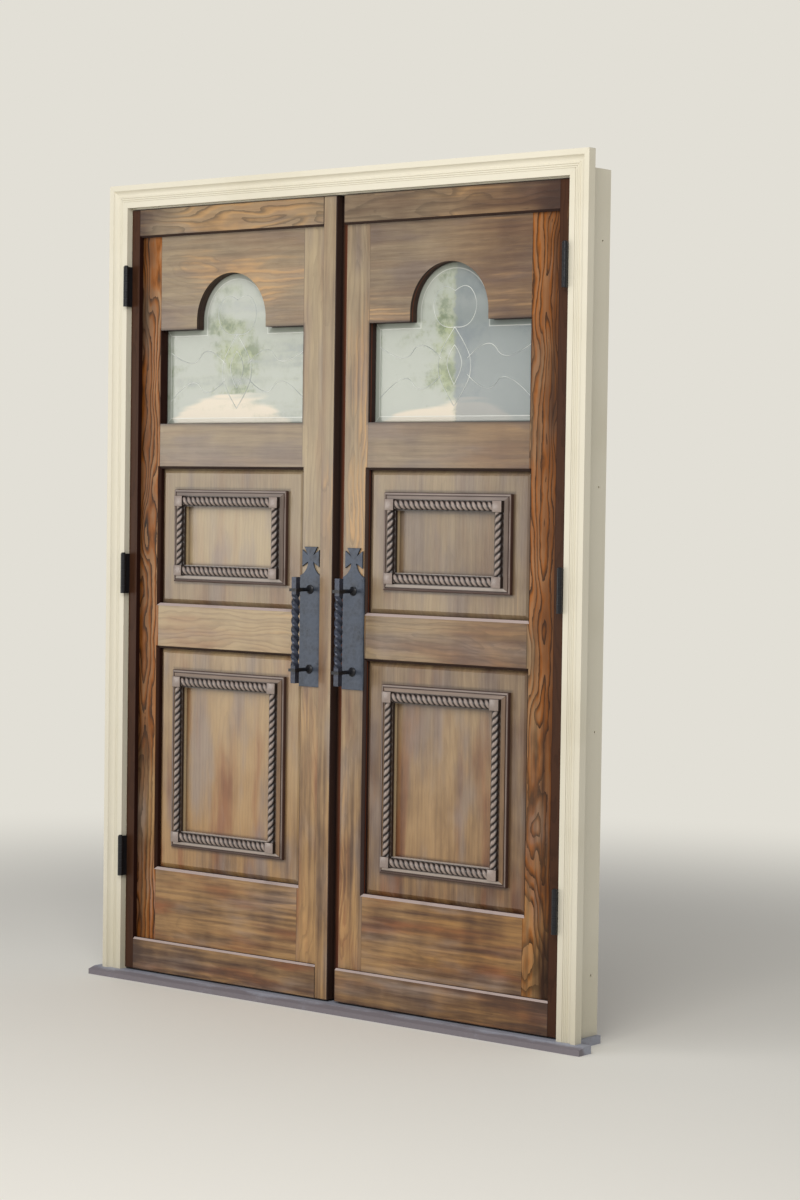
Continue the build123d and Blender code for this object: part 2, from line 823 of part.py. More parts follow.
def make_flush_bolts():
    """Two bolts that slide up and down in the right leaf, their guides and their keepers."""
    edge_x = leaf_left_edge["right"]
    bolt_x = edge_x + bolt_inset
    face_x = edge_x + guide_offset
    guide_y = (bolt_depth - guide_width / 2, bolt_depth + guide_width / 2)
    with BuildPart() as guides:
        for name, (low, high) in guide_spans().items():
            slab((face_x, face_x + guide_thickness), guide_y, (low, high))
            thumb_low, thumb_high = thumb_span(name)
            slot_low = thumb_low - slot_end_clearance - (bolt_travel if name == "bottom" else 0)
            slot_high = thumb_high + slot_end_clearance + (bolt_travel if name == "top" else 0)
            slot_half = thumb_size / 2 + slot_side_clearance
            slot_y = (bolt_depth - slot_half, bolt_depth + slot_half)
            slab((face_x, face_x + guide_thickness), slot_y, (slot_low, slot_high), Mode.SUBTRACT)
    save(guides, "right_bolt_guides")

    for name, (low, high) in bolt_ends().items():
        with BuildPart() as bolt:
            rod_along_z(bolt_x, bolt_depth, bolt_radius, (low, high))
            thumb_y = (bolt_depth - thumb_size / 2, bolt_depth + thumb_size / 2)
            slab((face_x, bolt_x), thumb_y, thumb_span(name))
        save(bolt, f"right_{name}_bolt")

    with BuildPart() as keepers:
        for low in (sill_height - keeper_thickness, head_underside):
            keeper_z = (low, low + keeper_thickness)
            slab(*keeper_square(), keeper_z)
            rod_along_z(bolt_x, bolt_depth, keeper_hole_radius, keeper_z, Mode.SUBTRACT)
    save(keepers, "bolt_keepers")


def keeper_square():
    """The limits of a keeper along X and Y, round the bolts' line."""
    bolt_x = leaf_left_edge["right"] + bolt_inset
    half = keeper_width / 2
    return (bolt_x - half, bolt_x + half), (bolt_depth - half, bolt_depth + half)


def cut_keeper(low, high, mouth):
    """A keeper's pocket and the hole behind it, in the sill or the head."""
    bolt_x = leaf_left_edge["right"] + bolt_inset
    slab(*keeper_square(), mouth, Mode.SUBTRACT)
    rod_along_z(bolt_x, bolt_depth, keeper_hole_radius, (low, high), Mode.SUBTRACT)


# Frame


def make_jambs():
    """The two side jambs and the head, each with a stop and a kerf for the seal."""
    stop_inner = half_frame - stop_depth
    kerf_middle = half_frame - stop_depth / 2
    for side in sides:
        sign = outward[side]
        section = (
            (half_frame, jamb_front),
            (half_frame, stop_front),
            (kerf_middle + kerf_width / 2, stop_front),
            (kerf_middle + kerf_width / 2, stop_front + kerf_depth),
            (kerf_middle - kerf_width / 2, stop_front + kerf_depth),
            (kerf_middle - kerf_width / 2, stop_front),
            (stop_inner, stop_front),
            (stop_inner, jamb_back),
            (half_frame + jamb_thickness, jamb_back),
            (half_frame + jamb_thickness, jamb_front),
        )
        with BuildPart() as jamb:
            with BuildSketch(Plane.XY.offset(sill_height)):
                with BuildLine():
                    Polyline(*[(sign * x, y) for x, y in section], close=True)
                make_face()
            extrude(amount=head_underside - sill_height)
            cut_hinge_pockets(sign * half_frame, sign)
            fixing_plane = Plane(origin=(sign * half_frame, 0, 0), x_dir=(0, 1, 0), z_dir=(1, 0, 0))
            with BuildSketch(fixing_plane):
                for i in range(fixing_count):
                    with Locations(((stop_front + jamb_back) / 2, fixing_first + i * fixing_spacing)):
                        Circle(fixing_radius)
            extrude(amount=2 * jamb_thickness, both=True, mode=Mode.SUBTRACT)
        save(jamb, f"{side}_jamb")

    end = half_frame + jamb_thickness
    stop_x = (-stop_inner, stop_inner)
    stop_z = (head_underside - stop_depth, head_underside)
    kerf_centre = head_underside - stop_depth / 2
    kerf_z = (kerf_centre - kerf_width / 2, kerf_centre + kerf_width / 2)
    mouth = (head_underside, head_underside + keeper_thickness)
    with BuildPart() as head:
        slab((-end, end), (jamb_front, jamb_back), (head_underside, head_underside + jamb_thickness))
        slab(stop_x, (stop_front, jamb_back), stop_z)
        slab(stop_x, (stop_front, stop_front + kerf_depth), kerf_z, Mode.SUBTRACT)
        cut_keeper(head_underside, head_underside + head_keeper_hole, mouth)
    save(head, "head_jamb")


def seal_length(plane, length):
    """A seal with a fin for the kerf and a flat bulb, run out from the plane."""
    bulb = stop_gap - seal_clearance
    with BuildSketch(plane) as section:
        with Locations((0, -bulb / 2)):
            Rectangle(seal_width, bulb)
        with Locations((0, seal_fin_length / 2)):
            Rectangle(kerf_width, seal_fin_length)
    extrude(section.sketch, amount=length)


def make_seals():
    """The compression seals that the leaves close against."""
    kerf_middle = half_frame - stop_depth / 2
    kerf_z = head_underside - stop_depth / 2
    head_end = kerf_middle - seal_width
    with BuildPart() as seals:
        low = sill_height + sill_stop_height
        for side in sides:
            foot = (outward[side] * kerf_middle, stop_front, low)
            seal_length(Plane(origin=foot, x_dir=(1, 0, 0), z_dir=(0, 0, 1)), head_underside - low)
        head_plane = Plane(origin=(head_end, stop_front, kerf_z), x_dir=(0, 0, 1), z_dir=(-1, 0, 0))
        seal_length(head_plane, 2 * head_end)
    save(seals, "frame_seals")

    with BuildPart() as sill_seal:
        sill_end = (head_end, stop_front, sill_height + sill_kerf_rise)
        seal_length(Plane(origin=sill_end, x_dir=(0, 0, 1), z_dir=(-1, 0, 0)), 2 * head_end)
    save(sill_seal, "sill_seal")


def make_sill():
    """The threshold: a sloped nose with horns, and a raised stop behind the leaves."""
    stop_inner = half_frame - stop_depth
    horn_end = casing_inner + casing_width + sill_horn
    rear_end = half_frame + sill_rear_overhang
    with BuildPart() as sill:
        with BuildSketch(Plane.YZ):
            with BuildLine():
                Polyline(
                    (sill_front, 0),
                    (sill_front, sill_nose_height),
                    (sill_slope_back, sill_height),
                    (jamb_back, sill_height),
                    (jamb_back, 0),
                    close=True,
                )
            make_face()
        extrude(amount=horn_end, both=True)
        for sign in (-1, 1):
            notch_x = sorted((sign * rear_end, sign * horn_end))
            slab(notch_x, (jamb_front, jamb_back), (0, sill_height), Mode.SUBTRACT)
        stop_z = (sill_height, sill_height + sill_stop_height)
        slab((-stop_inner, stop_inner), (stop_front, jamb_back), stop_z)
        kerf_low = sill_height + sill_kerf_rise - kerf_width / 2
        kerf_z = (kerf_low, kerf_low + kerf_width)
        slab((-stop_inner, stop_inner), (stop_front, stop_front + kerf_depth), kerf_z, Mode.SUBTRACT)
        mouth = (sill_height - keeper_thickness, sill_height)
        cut_keeper(sill_height - sill_keeper_hole, sill_height, mouth)
    save(sill, "sill")


def run_casing(plane, length):
    """A length of casing: a flat, a row of reeds, a cove and an outer band in section."""
    reed_base = casing_flat_thickness - reed_drop
    reeds_end = casing_flat_width + reed_count * reed_width
    cove_end = reeds_end + cove_width
    with BuildSketch(plane) as section:
        with BuildLine():
            Polyline(
                (casing_width, 0),
                (0, 0),
                (0, casing_flat_thickness),
                (casing_flat_width, casing_flat_thickness),
            )
            Line((casing_flat_width, casing_flat_thickness), (casing_flat_width, reed_base))
            for i in range(reed_count):
                start = casing_flat_width + i * reed_width
                ThreePointArc(
                    (start, reed_base),
                    (start + reed_width / 2, casing_flat_thickness),
                    (start + reed_width, reed_base),
                )
            ThreePointArc(
                (reeds_end, reed_base),
                (reeds_end + cove_bend[0], reed_base + cove_bend[1]),
                (cove_end, casing_band_thickness),
            )
            Polyline(
                (cove_end, casing_band_thickness),
                (casing_width, casing_band_thickness),
                (casing_width, 0),
            )
        make_face()
    extrude(section.sketch, amount=length)


def make_casings():
    """The moulded casing round the outside of the frame, mitred at its upper corners."""
    inner_z = head_underside + casing_reveal
    outer_x, outer_z = casing_inner + casing_width, inner_z + casing_width
    for side in sides:
        sign = outward[side]
        start = outer_z if side == "right" else sill_height
        with BuildPart() as casing:
            section_plane = Plane(
                origin=(sign * casing_inner, jamb_front, start),
                x_dir=(sign, 0, 0),
                z_dir=(0, 0, -sign),
            )
            run_casing(section_plane, outer_z - sill_height)
            with BuildSketch(front(jamb_front)):
                with BuildLine():
                    Polyline(
                        (sign * casing_inner, sill_height),
                        (sign * outer_x, sill_height),
                        (sign * outer_x, outer_z - mitre_gap),
                        (sign * casing_inner, inner_z - mitre_gap),
                        close=True,
                    )
                make_face()
            extrude(amount=casing_band_thickness, mode=Mode.INTERSECT)
        save(casing, f"{side}_casing")

    with BuildPart() as head_casing:
        section_plane = Plane(origin=(-outer_x, jamb_front, inner_z), x_dir=(0, 0, 1), z_dir=(1, 0, 0))
        run_casing(section_plane, 2 * outer_x)
        with BuildSketch(front(jamb_front)):
            with BuildLine():
                Polyline(
                    (-casing_inner, inner_z),
                    (casing_inner, inner_z),
                    (outer_x, outer_z),
                    (-outer_x, outer_z),
                    close=True,
                )
            make_face()
        extrude(amount=casing_band_thickness, mode=Mode.INTERSECT)
    save(head_casing, "head_casing")


def rods_for_panels():
    """The rope rods that each panel needs, one across and one upright."""
    rods = {}
    across = opening_width - 2 * (moulding_side_margin + moulding_width)
    ends = moulding_head_margin + moulding_foot_margin + 2 * moulding_width
    for place, (low, high) in panel_openings.items():
        rods[place, "across"] = rope_rod(across)
        rods[place, "upright"] = rope_rod(high - low - ends)
    return rods


rope_rods = rods_for_panels()
for side in sides:
    opening_start = leaf_left_edge[side] + left_stile_width
    opening_x = (opening_start, opening_start + opening_width)
    if side == "left":
        pull_x = (opening_x[1] + leaf_left_edge[side] + leaf_width - meeting_strip_width) / 2
    else:
        pull_x = (leaf_left_edge[side] + meeting_rebate_width + opening_x[0]) / 2
    make_stiles(side, opening_x, pull_x)
    make_rails(side, opening_x)
    make_panels(side, opening_x)
    make_mouldings(side, opening_x)
    make_strips(side, opening_x)
    make_glass(side, opening_x)
    make_pull(side, pull_x)
make_hinges()
make_flush_bolts()
make_jambs()
make_seals()
make_sill()
make_casings()
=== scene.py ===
import math
import typing

import bpy
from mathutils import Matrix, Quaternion, Vector


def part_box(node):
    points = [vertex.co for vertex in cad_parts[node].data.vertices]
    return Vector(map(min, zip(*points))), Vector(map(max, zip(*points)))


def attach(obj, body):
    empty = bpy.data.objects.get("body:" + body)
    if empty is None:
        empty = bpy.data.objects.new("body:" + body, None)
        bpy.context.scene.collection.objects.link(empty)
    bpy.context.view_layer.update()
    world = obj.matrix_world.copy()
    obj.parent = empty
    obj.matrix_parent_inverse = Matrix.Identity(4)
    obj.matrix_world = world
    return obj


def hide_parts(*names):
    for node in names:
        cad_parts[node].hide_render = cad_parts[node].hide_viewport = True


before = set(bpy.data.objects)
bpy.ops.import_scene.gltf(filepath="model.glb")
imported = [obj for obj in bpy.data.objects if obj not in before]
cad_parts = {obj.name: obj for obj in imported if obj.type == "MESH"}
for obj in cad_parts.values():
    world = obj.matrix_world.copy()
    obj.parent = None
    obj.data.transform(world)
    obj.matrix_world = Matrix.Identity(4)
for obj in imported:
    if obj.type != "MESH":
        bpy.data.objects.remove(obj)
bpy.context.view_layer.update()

bl_info = {
    "name": "Timber Double Door",
    "version": (1, 0, 0),
    "blender": (4, 5, 0),
    "location": "View3D > Sidebar > Double Door",
    "description": "Finishes and fine parts for a timber double door with arched lights",
    "category": "Object",
}

SIDES = ("left", "right")
OUTWARD = {"left": -1, "right": 1}
PLACES = ("upper", "lower")

# Sizes of the door, in metres, that the boxes of the frame's nodes don't give.
TENON = 0.060  # how far the tenon of a rail reaches into its stile
MOULDING_WIDTH = 0.053  # from the outer to the inner edge of a panel's moulding
QUIRK_INSET = 0.0078  # from the moulding's outer edge to the middle of its quirk
SEAT_INSET = 0.019  # from that edge to the seat that the rods lie in
SEAT_WIDTH = 0.034  # width of the seat and of a corner block
ARCH_RADIUS = 0.146  # radius of the arch of a light
ARCH_COVER = 0.010  # how far the pane reaches up behind the arch
HINGE_GAP = 0.0032  # between the hinge edge of a leaf and its jamb
PANEL_FRONT = 0.022  # how deep the outside of a panel reaches, down to about its tongue
MEETING_REBATE = 0.0125  # depth of the rebate along the meeting edge of the right leaf
SCREW_LIFT = 0.0002  # from the face of a hinge plate to the middle of a screw's head
# Screws of a hinge plate, as their Y and their height over the plate's middle.
SCREW_PLACES = ((0.004, -0.048), (-0.010, -0.016), (-0.010, 0.016), (0.004, 0.048))


class Board(typing.NamedTuple):
    """How one board of a leaf is cut, stained and varnished."""

    along: str  # the axis that its grain runs along
    ring: float  # metres from one growth ring to the next
    contrast: float  # how dark its late wood is
    wander: float  # how far its rings wander
    orange: float  # how orange its figure is
    dull: float  # how dull its varnish is
    pale: tuple  # how thin its stain is, on the left and on the right leaf


BOARDS = {
    "hinge_stile": Board("Z", 0.0100, 0.75, 2.0, 0.82, 0.95, (0.60, 0.50)),
    "meeting_stile": Board("Z", 0.0100, 0.22, 1.2, 0.44, 0.30, (0.68, 0.46)),
    "top_rail": Board("X", 0.0120, 0.14, 1.4, 0.40, 0.20, (0.46, 0.29)),
    "glass_rail": Board("X", 0.0100, 0.12, 0.6, 0.12, 0.10, (0.46, 0.38)),
    "lock_rail": Board("X", 0.0110, 0.34, 1.8, 0.30, 0.34, (0.86, 0.44)),
    "bottom_rail": Board("X", 0.0140, 0.22, 1.5, 0.34, 0.42, (0.56, 0.50)),
    "top_band": Board("X", 0.0160, 0.46, 2.6, 0.44, 0.42, (0.38, 0.24)),
    "bottom_band": Board("X", 0.0120, 0.26, 1.2, 0.26, 0.30, (0.32, 0.36)),
    "hinge_strip": Board("Z", 0.0070, 0.40, 0.5, 0.15, 1.00, (-0.10, -0.10)),
    "meeting_strip": Board("Z", 0.0090, 0.20, 0.5, 0.26, 0.22, (0.52, 0.52)),
    "glazing_beads": Board("X", 0.0060, 0.20, 0.4, 0.30, 0.30, (0.40, 0.40)),
    "upper_panel": Board("Z", 0.0070, 0.12, 0.5, 0.10, 0.10, (0.84, 0.40)),
    "lower_panel": Board("Z", 0.0075, 0.14, 0.5, 0.14, 0.14, (0.84, 0.54)),
}
# How much paler the wood of a panel is outside its moulding, below 0 where it is darker.
MARGINS = {
    "left": {"upper": -0.34, "lower": -0.14},
    "right": {"upper": 0.10, "lower": -0.14},
}


def linear(red, green, blue):
    """A colour as light from the usual 0 to 255 levels of a screen."""
    levels = (level / 255 for level in (red, green, blue))
    return tuple(v / 12.92 if v <= 0.04045 else ((v + 0.055) / 1.055) ** 2.4 for v in levels)


def colour(name, text, levels):
    """A colour setting."""
    return bpy.props.FloatVectorProperty(
        name=name, description=text, default=linear(*levels), subtype="COLOR", size=3, min=0, max=1
    )


def length(name, text, metres):
    """A length setting."""
    return bpy.props.FloatProperty(name=name, description=text, default=metres, unit="LENGTH", min=0)


def share(name, text, value, low=0.0, high=1.0):
    """A setting without a unit."""
    return bpy.props.FloatProperty(name=name, description=text, default=value, min=low, max=high)


class TimberSettings(bpy.types.PropertyGroup):
    """Stain and varnish of the leaves"""

    pale: colour("Pale", "Stained early wood where the stain is thin", (177, 158, 126))
    golden: colour("Golden", "Early wood low down, where the stain is warmer", (172, 128, 74))
    walnut: colour("Walnut", "Early wood where the stain is thick", (70, 44, 30))
    flame: colour("Flame", "Early wood of a board with an orange figure", (182, 104, 30))
    honey: colour("Honey", "Early wood in the wisps of the other boards", (198, 154, 100))
    russet: colour("Russet", "Red cast of the stain, mostly low down", (132, 62, 28))
    # Painted reflection: a bluish sheen of the varnish, laid in patches as a cast of the stain.
    bluish_sheen: colour("Bluish", "Bluish cast of the stain here and there", (142, 130, 124))
    late: colour("Late wood", "Dark lines between the growth rings", (26, 15, 9))
    # Grime and painted shade: this dark colour marks real joints, and it also stands for shade along the
    # edges of openings and mouldings, on sides and reveals, in the meeting rebate and round the glass.
    grime_and_shade: colour("Grime", "Dark stain in corners and on edges", (38, 17, 12))
    # Painted highlight: the colour of upward-facing bevels, standing for the sky reflected in the varnish,
    # in patches.
    worn: colour("Worn edge", "Edges that face up, where the varnish is rubbed", (200, 182, 176))
    gloss: share("Roughness", "Roughness of the varnish", 0.36)
    # Width of the band of grime and painted shade along those edges.
    edge_grime_and_shade: length("Grime width", "How far grime reaches from an edge", 0.012)


class TrimSettings(bpy.types.PropertyGroup):
    """Mouldings and rope-twist rods on the panels"""

    # Painted highlight with some wear: the colour of the rods' crests that face the front, and of the
    # fronts of the corner blocks.
    crest: colour("Crest", "Raised strands", (172, 155, 146))
    # Painted shade with some grime: the near-black colour between the strands, on the sides of the blocks,
    # under the rods and at the front of a moulding's inner wall.
    valley: colour("Valley", "Between the strands and in the corners", (28, 16, 13))
    face: colour("Face", "Sloping and flat faces of the mouldings", (120, 103, 92))
    # Painted highlight: the bead is a little lighter than the faces.
    bead: colour("Bead", "Bead along the outer edge of a moulding", (140, 124, 115))
    # Painted reflection: lightens the top members of a moulding a little and the inner part of its bottom
    # member strongly.
    worn: colour("Worn", "Rubbed varnish on level mouldings, most on the lowest", (206, 196, 190))
    # Painted shade: the dark colour of a moulding's outer wall, its quirk and the outer part of its bottom
    # member.
    wall_shade: colour("Wall", "Upright faces and the quirk of the mouldings", (58, 28, 16))
    crest_radius: length("Crest radius", "Radius over a strand", 0.0128)
    valley_radius: length("Valley radius", "Radius between two strands", 0.0092)
    upright_spread: share("Upright spread", "How much wider than deep an upright rod is", 1.0, 0.8, 2.0)
    level_spread: share("Level spread", "How much wider than deep a level rod is", 1.18, 0.8, 2.0)
    upright_pitch: length("Upright pitch", "From one strand to the next along an upright rod", 0.022)
    level_pitch: length("Level pitch", "From one strand to the next along a level rod", 0.0195)
    block_arris: length("Block arris", "Bevel on the corner blocks", 0.0018)


class GlassSettings(bpy.types.PropertyGroup):
    """Bevelled glass with drawn lines"""

    # Painted reflections: the glass's tones stand for trees, sky and warm light reflected in it, and the
    # bevel line for a glint on the bevel.
    pale: colour("Pale", "Palest glass", (168, 174, 163))
    warm: colour("Warm", "Warm light low in the glass", (216, 204, 182))
    green: colour("Green", "Leafy green in the glass", (148, 160, 104))
    shade: colour("Shade", "Darkest green in the glass", (100, 116, 78))
    blue: colour("Blue", "Blue-grey depth of the glass", (104, 116, 121))
    bevel_line: colour("Bevel line", "Bright line along the bevel", (240, 242, 236))
    bevel: length("Bevel", "Visible width of the bevelled border", 0.018)
    line_radius: length("Line radius", "Half the thickness of a drawn line", 0.0010)


class IronSettings(bpy.types.PropertyGroup):
    """Forged pulls and hinges"""

    plate: colour("Plate", "Forged iron of the pulls", (74, 82, 96))
    hollow: colour("Hollow", "Dark places in the forged iron", (24, 26, 32))
    bar: colour("Bar", "Forged iron of the twisted bars", (52, 58, 74))
    hinge: colour("Hinge", "Black iron of the hinges and of the pulls' posts", (30, 30, 34))
    steel: colour("Steel", "Bright steel of the bolts", (170, 170, 168))
    hammer: length("Hammer mark", "Width of a hammer mark", 0.012)
    screw_radius: length("Screw radius", "Radius of the head of a hinge screw", 0.0044)
    screw_slot: length("Screw slot", "Half the width of the slot in a hinge screw", 0.0006)


class FrameSettings(bpy.types.PropertyGroup):
    """Painted frame and sill"""

    paint: colour("Paint", "Cream paint of jambs and casings", (219, 213, 195))
    shade: colour("Old paint", "Yellowed paint here and there and near the floor", (198, 190, 166))
    sill: colour("Sill", "Blue-grey paint of the sill", (152, 155, 167))
    sill_worn: colour("Worn sill", "Where the sill's paint is worn", (120, 114, 120))
    seal: colour("Seal", "Rubber of the seals", (42, 34, 28))


class StageSettings(bpy.types.PropertyGroup):
    """Floor, lights and camera"""

    floor: colour("Floor", "Plain pale floor", (243, 240, 232))
    floor_cloud: colour("Floor cloud", "Faint darker patches of the floor", (200, 196, 186))
    background: colour("Background", "Plain backdrop", (226, 223, 214))
    sky_tint: colour("Sky tint", "Colour of the light from all round", (240, 240, 240))
    key: share("Key light", "Strength of the large light at the front right", 235.0, 0.0, 5000.0)
    sheen: share("Sheen light", "Strength of the low light at the front left", 75.0, 0.0, 5000.0)
    top: share("Top light", "Strength of the light above", 50.0, 0.0, 5000.0)
    sky: share("Sky", "Strength of the light from all round", 0.40, 0.0, 10.0)
    clear: length("Clear floor", "How far from the door the floor starts to fade", 2.2)
    horizon: length("Horizon", "How far from the door the floor has turned into the backdrop", 5.5)
    lens: share("Lens", "Focal length in millimetres on a 36 mm frame", 84.0, 1.0, 500.0)


# Shader nodes


class Wire:
    """A value that changes over a surface and is used in sums like a number."""

    def __init__(self, nodes, socket):
        self.nodes = nodes
        self.socket = socket

    def __add__(self, other):
        return self.nodes.math("ADD", self, other)

    __radd__ = __add__

    def __sub__(self, other):
        return self.nodes.math("SUBTRACT", self, other)

    def __rsub__(self, other):
        return self.nodes.math("SUBTRACT", other, self)

    def __mul__(self, other):
        return self.nodes.math("MULTIPLY", self, other)

    __rmul__ = __mul__

    def __truediv__(self, other):
        return self.nodes.math("DIVIDE", self, other)

    def __pow__(self, other):
        return self.nodes.math("POWER", self, other)

    def __abs__(self):
        return self.nodes.math("ABSOLUTE", self)

    def at_least(self, other):
        return self.nodes.math("MAXIMUM", self, other)

    def at_most(self, other):
        return self.nodes.math("MINIMUM", self, other)

    def fraction(self):
        return self.nodes.math("FRACT", self)


class Nodes:
    """The nodes of a material or of the world."""

    def __init__(self, tree):
        self.tree = tree

    def feed(self, socket, value):
        """Link a wire to a socket, or set the socket to a number or a colour."""
        if isinstance(value, Wire):
            self.tree.links.new(value.socket, socket)
        elif socket.type == "RGBA" and len(value) == 3:
            socket.default_value = (*value, 1)
        else:
            socket.default_value = value

    def add(self, kind, settings=None, inputs=None, output=0):
        """A node of any kind, with its settings and the values or wires of its sockets."""
        node = self.tree.nodes.new(kind)
        for name, value in (settings or {}).items():
            setattr(node, name, value)
        for name, value in (inputs or {}).items():
            self.feed(node.inputs[name], value)
        return Wire(self, node.outputs[output])

    def math(self, operation, *values):
        """Numbers and wires that are put through one Math node."""
        return self.add("ShaderNodeMath", {"operation": operation}, dict(enumerate(values)))


class Finish(Nodes):
    """A material that is being made, with its shader."""

    def __init__(self, name):
        self.material = bpy.data.materials.new(name)
        self.material.use_nodes = True
        super().__init__(self.material.node_tree)
        self.shader = self.tree.nodes["Principled BSDF"]

    def set(self, **inputs):
        """Set or link the shader's own sockets, named with _ for a space."""
        for name, value in inputs.items():
            self.feed(self.shader.inputs[name.replace("_", " ")], value)

    def parts(self, output):
        """The three parts of a texture coordinate, as wires."""
        vector = self.add("ShaderNodeTexCoord", output=output)
        part = self.add("ShaderNodeSeparateXYZ", inputs={0: vector})
        return [Wire(self, socket) for socket in part.socket.node.outputs]

    def place(self):
        """Where a point of the piece is, as three wires in metres."""
        return self.parts("Object")

    def facing(self):
        """Which way the surface faces, as three wires."""
        return self.parts("Normal")

    def stretch(self, where, scale, shift=(0, 0, 0)):
        """A place as one vector, scaled by a number or by one for each axis, and shifted."""
        if isinstance(scale, (int, float)):
            scale = (scale, scale, scale)
        vector = self.add("ShaderNodeCombineXYZ", inputs=dict(enumerate(where)))
        inputs = {0: vector, 1: scale, 2: shift}
        return self.add("ShaderNodeVectorMath", {"operation": "MULTIPLY_ADD"}, inputs)

    def noise(self, where, scale, shift=(0, 0, 0), detail=2.0, roughness=0.5):
        """Smooth noise between 0 and 1, whose features are finer where the scale is larger."""
        vector = self.stretch(where, scale, shift)
        inputs = {"Vector": vector, "Scale": 1.0, "Detail": detail, "Roughness": roughness}
        return self.add("ShaderNodeTexNoise", inputs=inputs)

    def ramp(self, value, low, high, start=0.0, end=1.0):
        """0 below low, 1 above high and a smooth rise between them, or a slope from start to end."""
        inputs = {0: value, 1: low, 2: high, 3: start, 4: end}
        return self.add("ShaderNodeMapRange", {"interpolation_type": "SMOOTHSTEP"}, inputs)

    def fade(self, value, low, high):
        """1 below low, 0 above high and a smooth fall between them."""
        return self.ramp(value, low, high, 1.0, 0.0)

    def step(self, value, place, blur):
        """0 below a place and 1 above it, with a blur to each side."""
        return self.ramp(value, place - blur, place + blur)

    def mix(self, amount, first, second):
        """A colour between the first and the second."""
        return self.add("ShaderNodeMix", {"data_type": "RGBA"}, {0: amount, 6: first, 7: second}, output=2)

    def layers(self, colour, *layers):
        """A colour with others laid over it in turn, each by its amount."""
        for amount, tint in layers:
            colour = self.mix(amount, colour, tint)
        return colour

    def bump(self, height, distance, strength):
        """The normal over a small relief."""
        inputs = {"Strength": strength, "Distance": distance, "Height": height}
        return self.add("ShaderNodeBump", inputs=inputs)


def box_distance(across, up, middle, half):
    """Distance outside a rectangle, below 0 inside it."""
    sideways = abs(across - middle[0]) - half[0]
    upwards = abs(up - middle[1]) - half[1]
    return sideways.at_least(upwards)


# The layout, read from the CAD nodes


def span(node):
    """The middle and the half size of a node in X and Z."""
    low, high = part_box(node)
    middle = ((low[0] + high[0]) / 2, (low[2] + high[2]) / 2)
    return middle, ((high[0] - low[0]) / 2, (high[2] - low[2]) / 2)


def hinge_edge(side):
    """The place in X of a leaf's hinge edge."""
    low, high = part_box(f"{side}_hinge_strip")
    return low[0] if side == "left" else high[0]


def openings(side):
    """The middle and half size of the two panel openings and the straight part of the light."""
    bottom_rail, lock_rail, glass_rail, top_rail = (
        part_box(f"{side}_{rail}") for rail in ("bottom_rail", "lock_rail", "glass_rail", "top_rail")
    )
    low, high = lock_rail
    middle_x = (low[0] + high[0]) / 2
    half_width = (high[0] - low[0]) / 2 - TENON
    found = []
    for below, above in ((bottom_rail, lock_rail), (lock_rail, glass_rail), (glass_rail, top_rail)):
        bottom, top = below[1][2], above[0][2]
        found.append(((middle_x, (bottom + top) / 2), (half_width, (top - bottom) / 2)))
    return found


def pick(objects):
    """Select only these objects, and make the first of them active."""
    bpy.ops.object.select_all(action="DESELECT")
    for piece in objects:
        piece.select_set(True)
    bpy.context.view_layer.objects.active = objects[0]


def paint(node, finish):
    """Give a CAD node one finish."""
    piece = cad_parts[node]
    piece.data.materials.clear()
    piece.data.materials.append(finish.material)


def settle(piece, name, body, finish):
    """Put a new piece's place into its mesh, name it, finish it and let it ride on a body."""
    pick([piece])
    bpy.ops.object.transform_apply(location=True, rotation=True, scale=True)
    piece.name = name
    piece.data.name = name
    piece.data.materials.clear()
    piece.data.materials.append(finish.material)
    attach(piece, body)
    return piece


# Timber


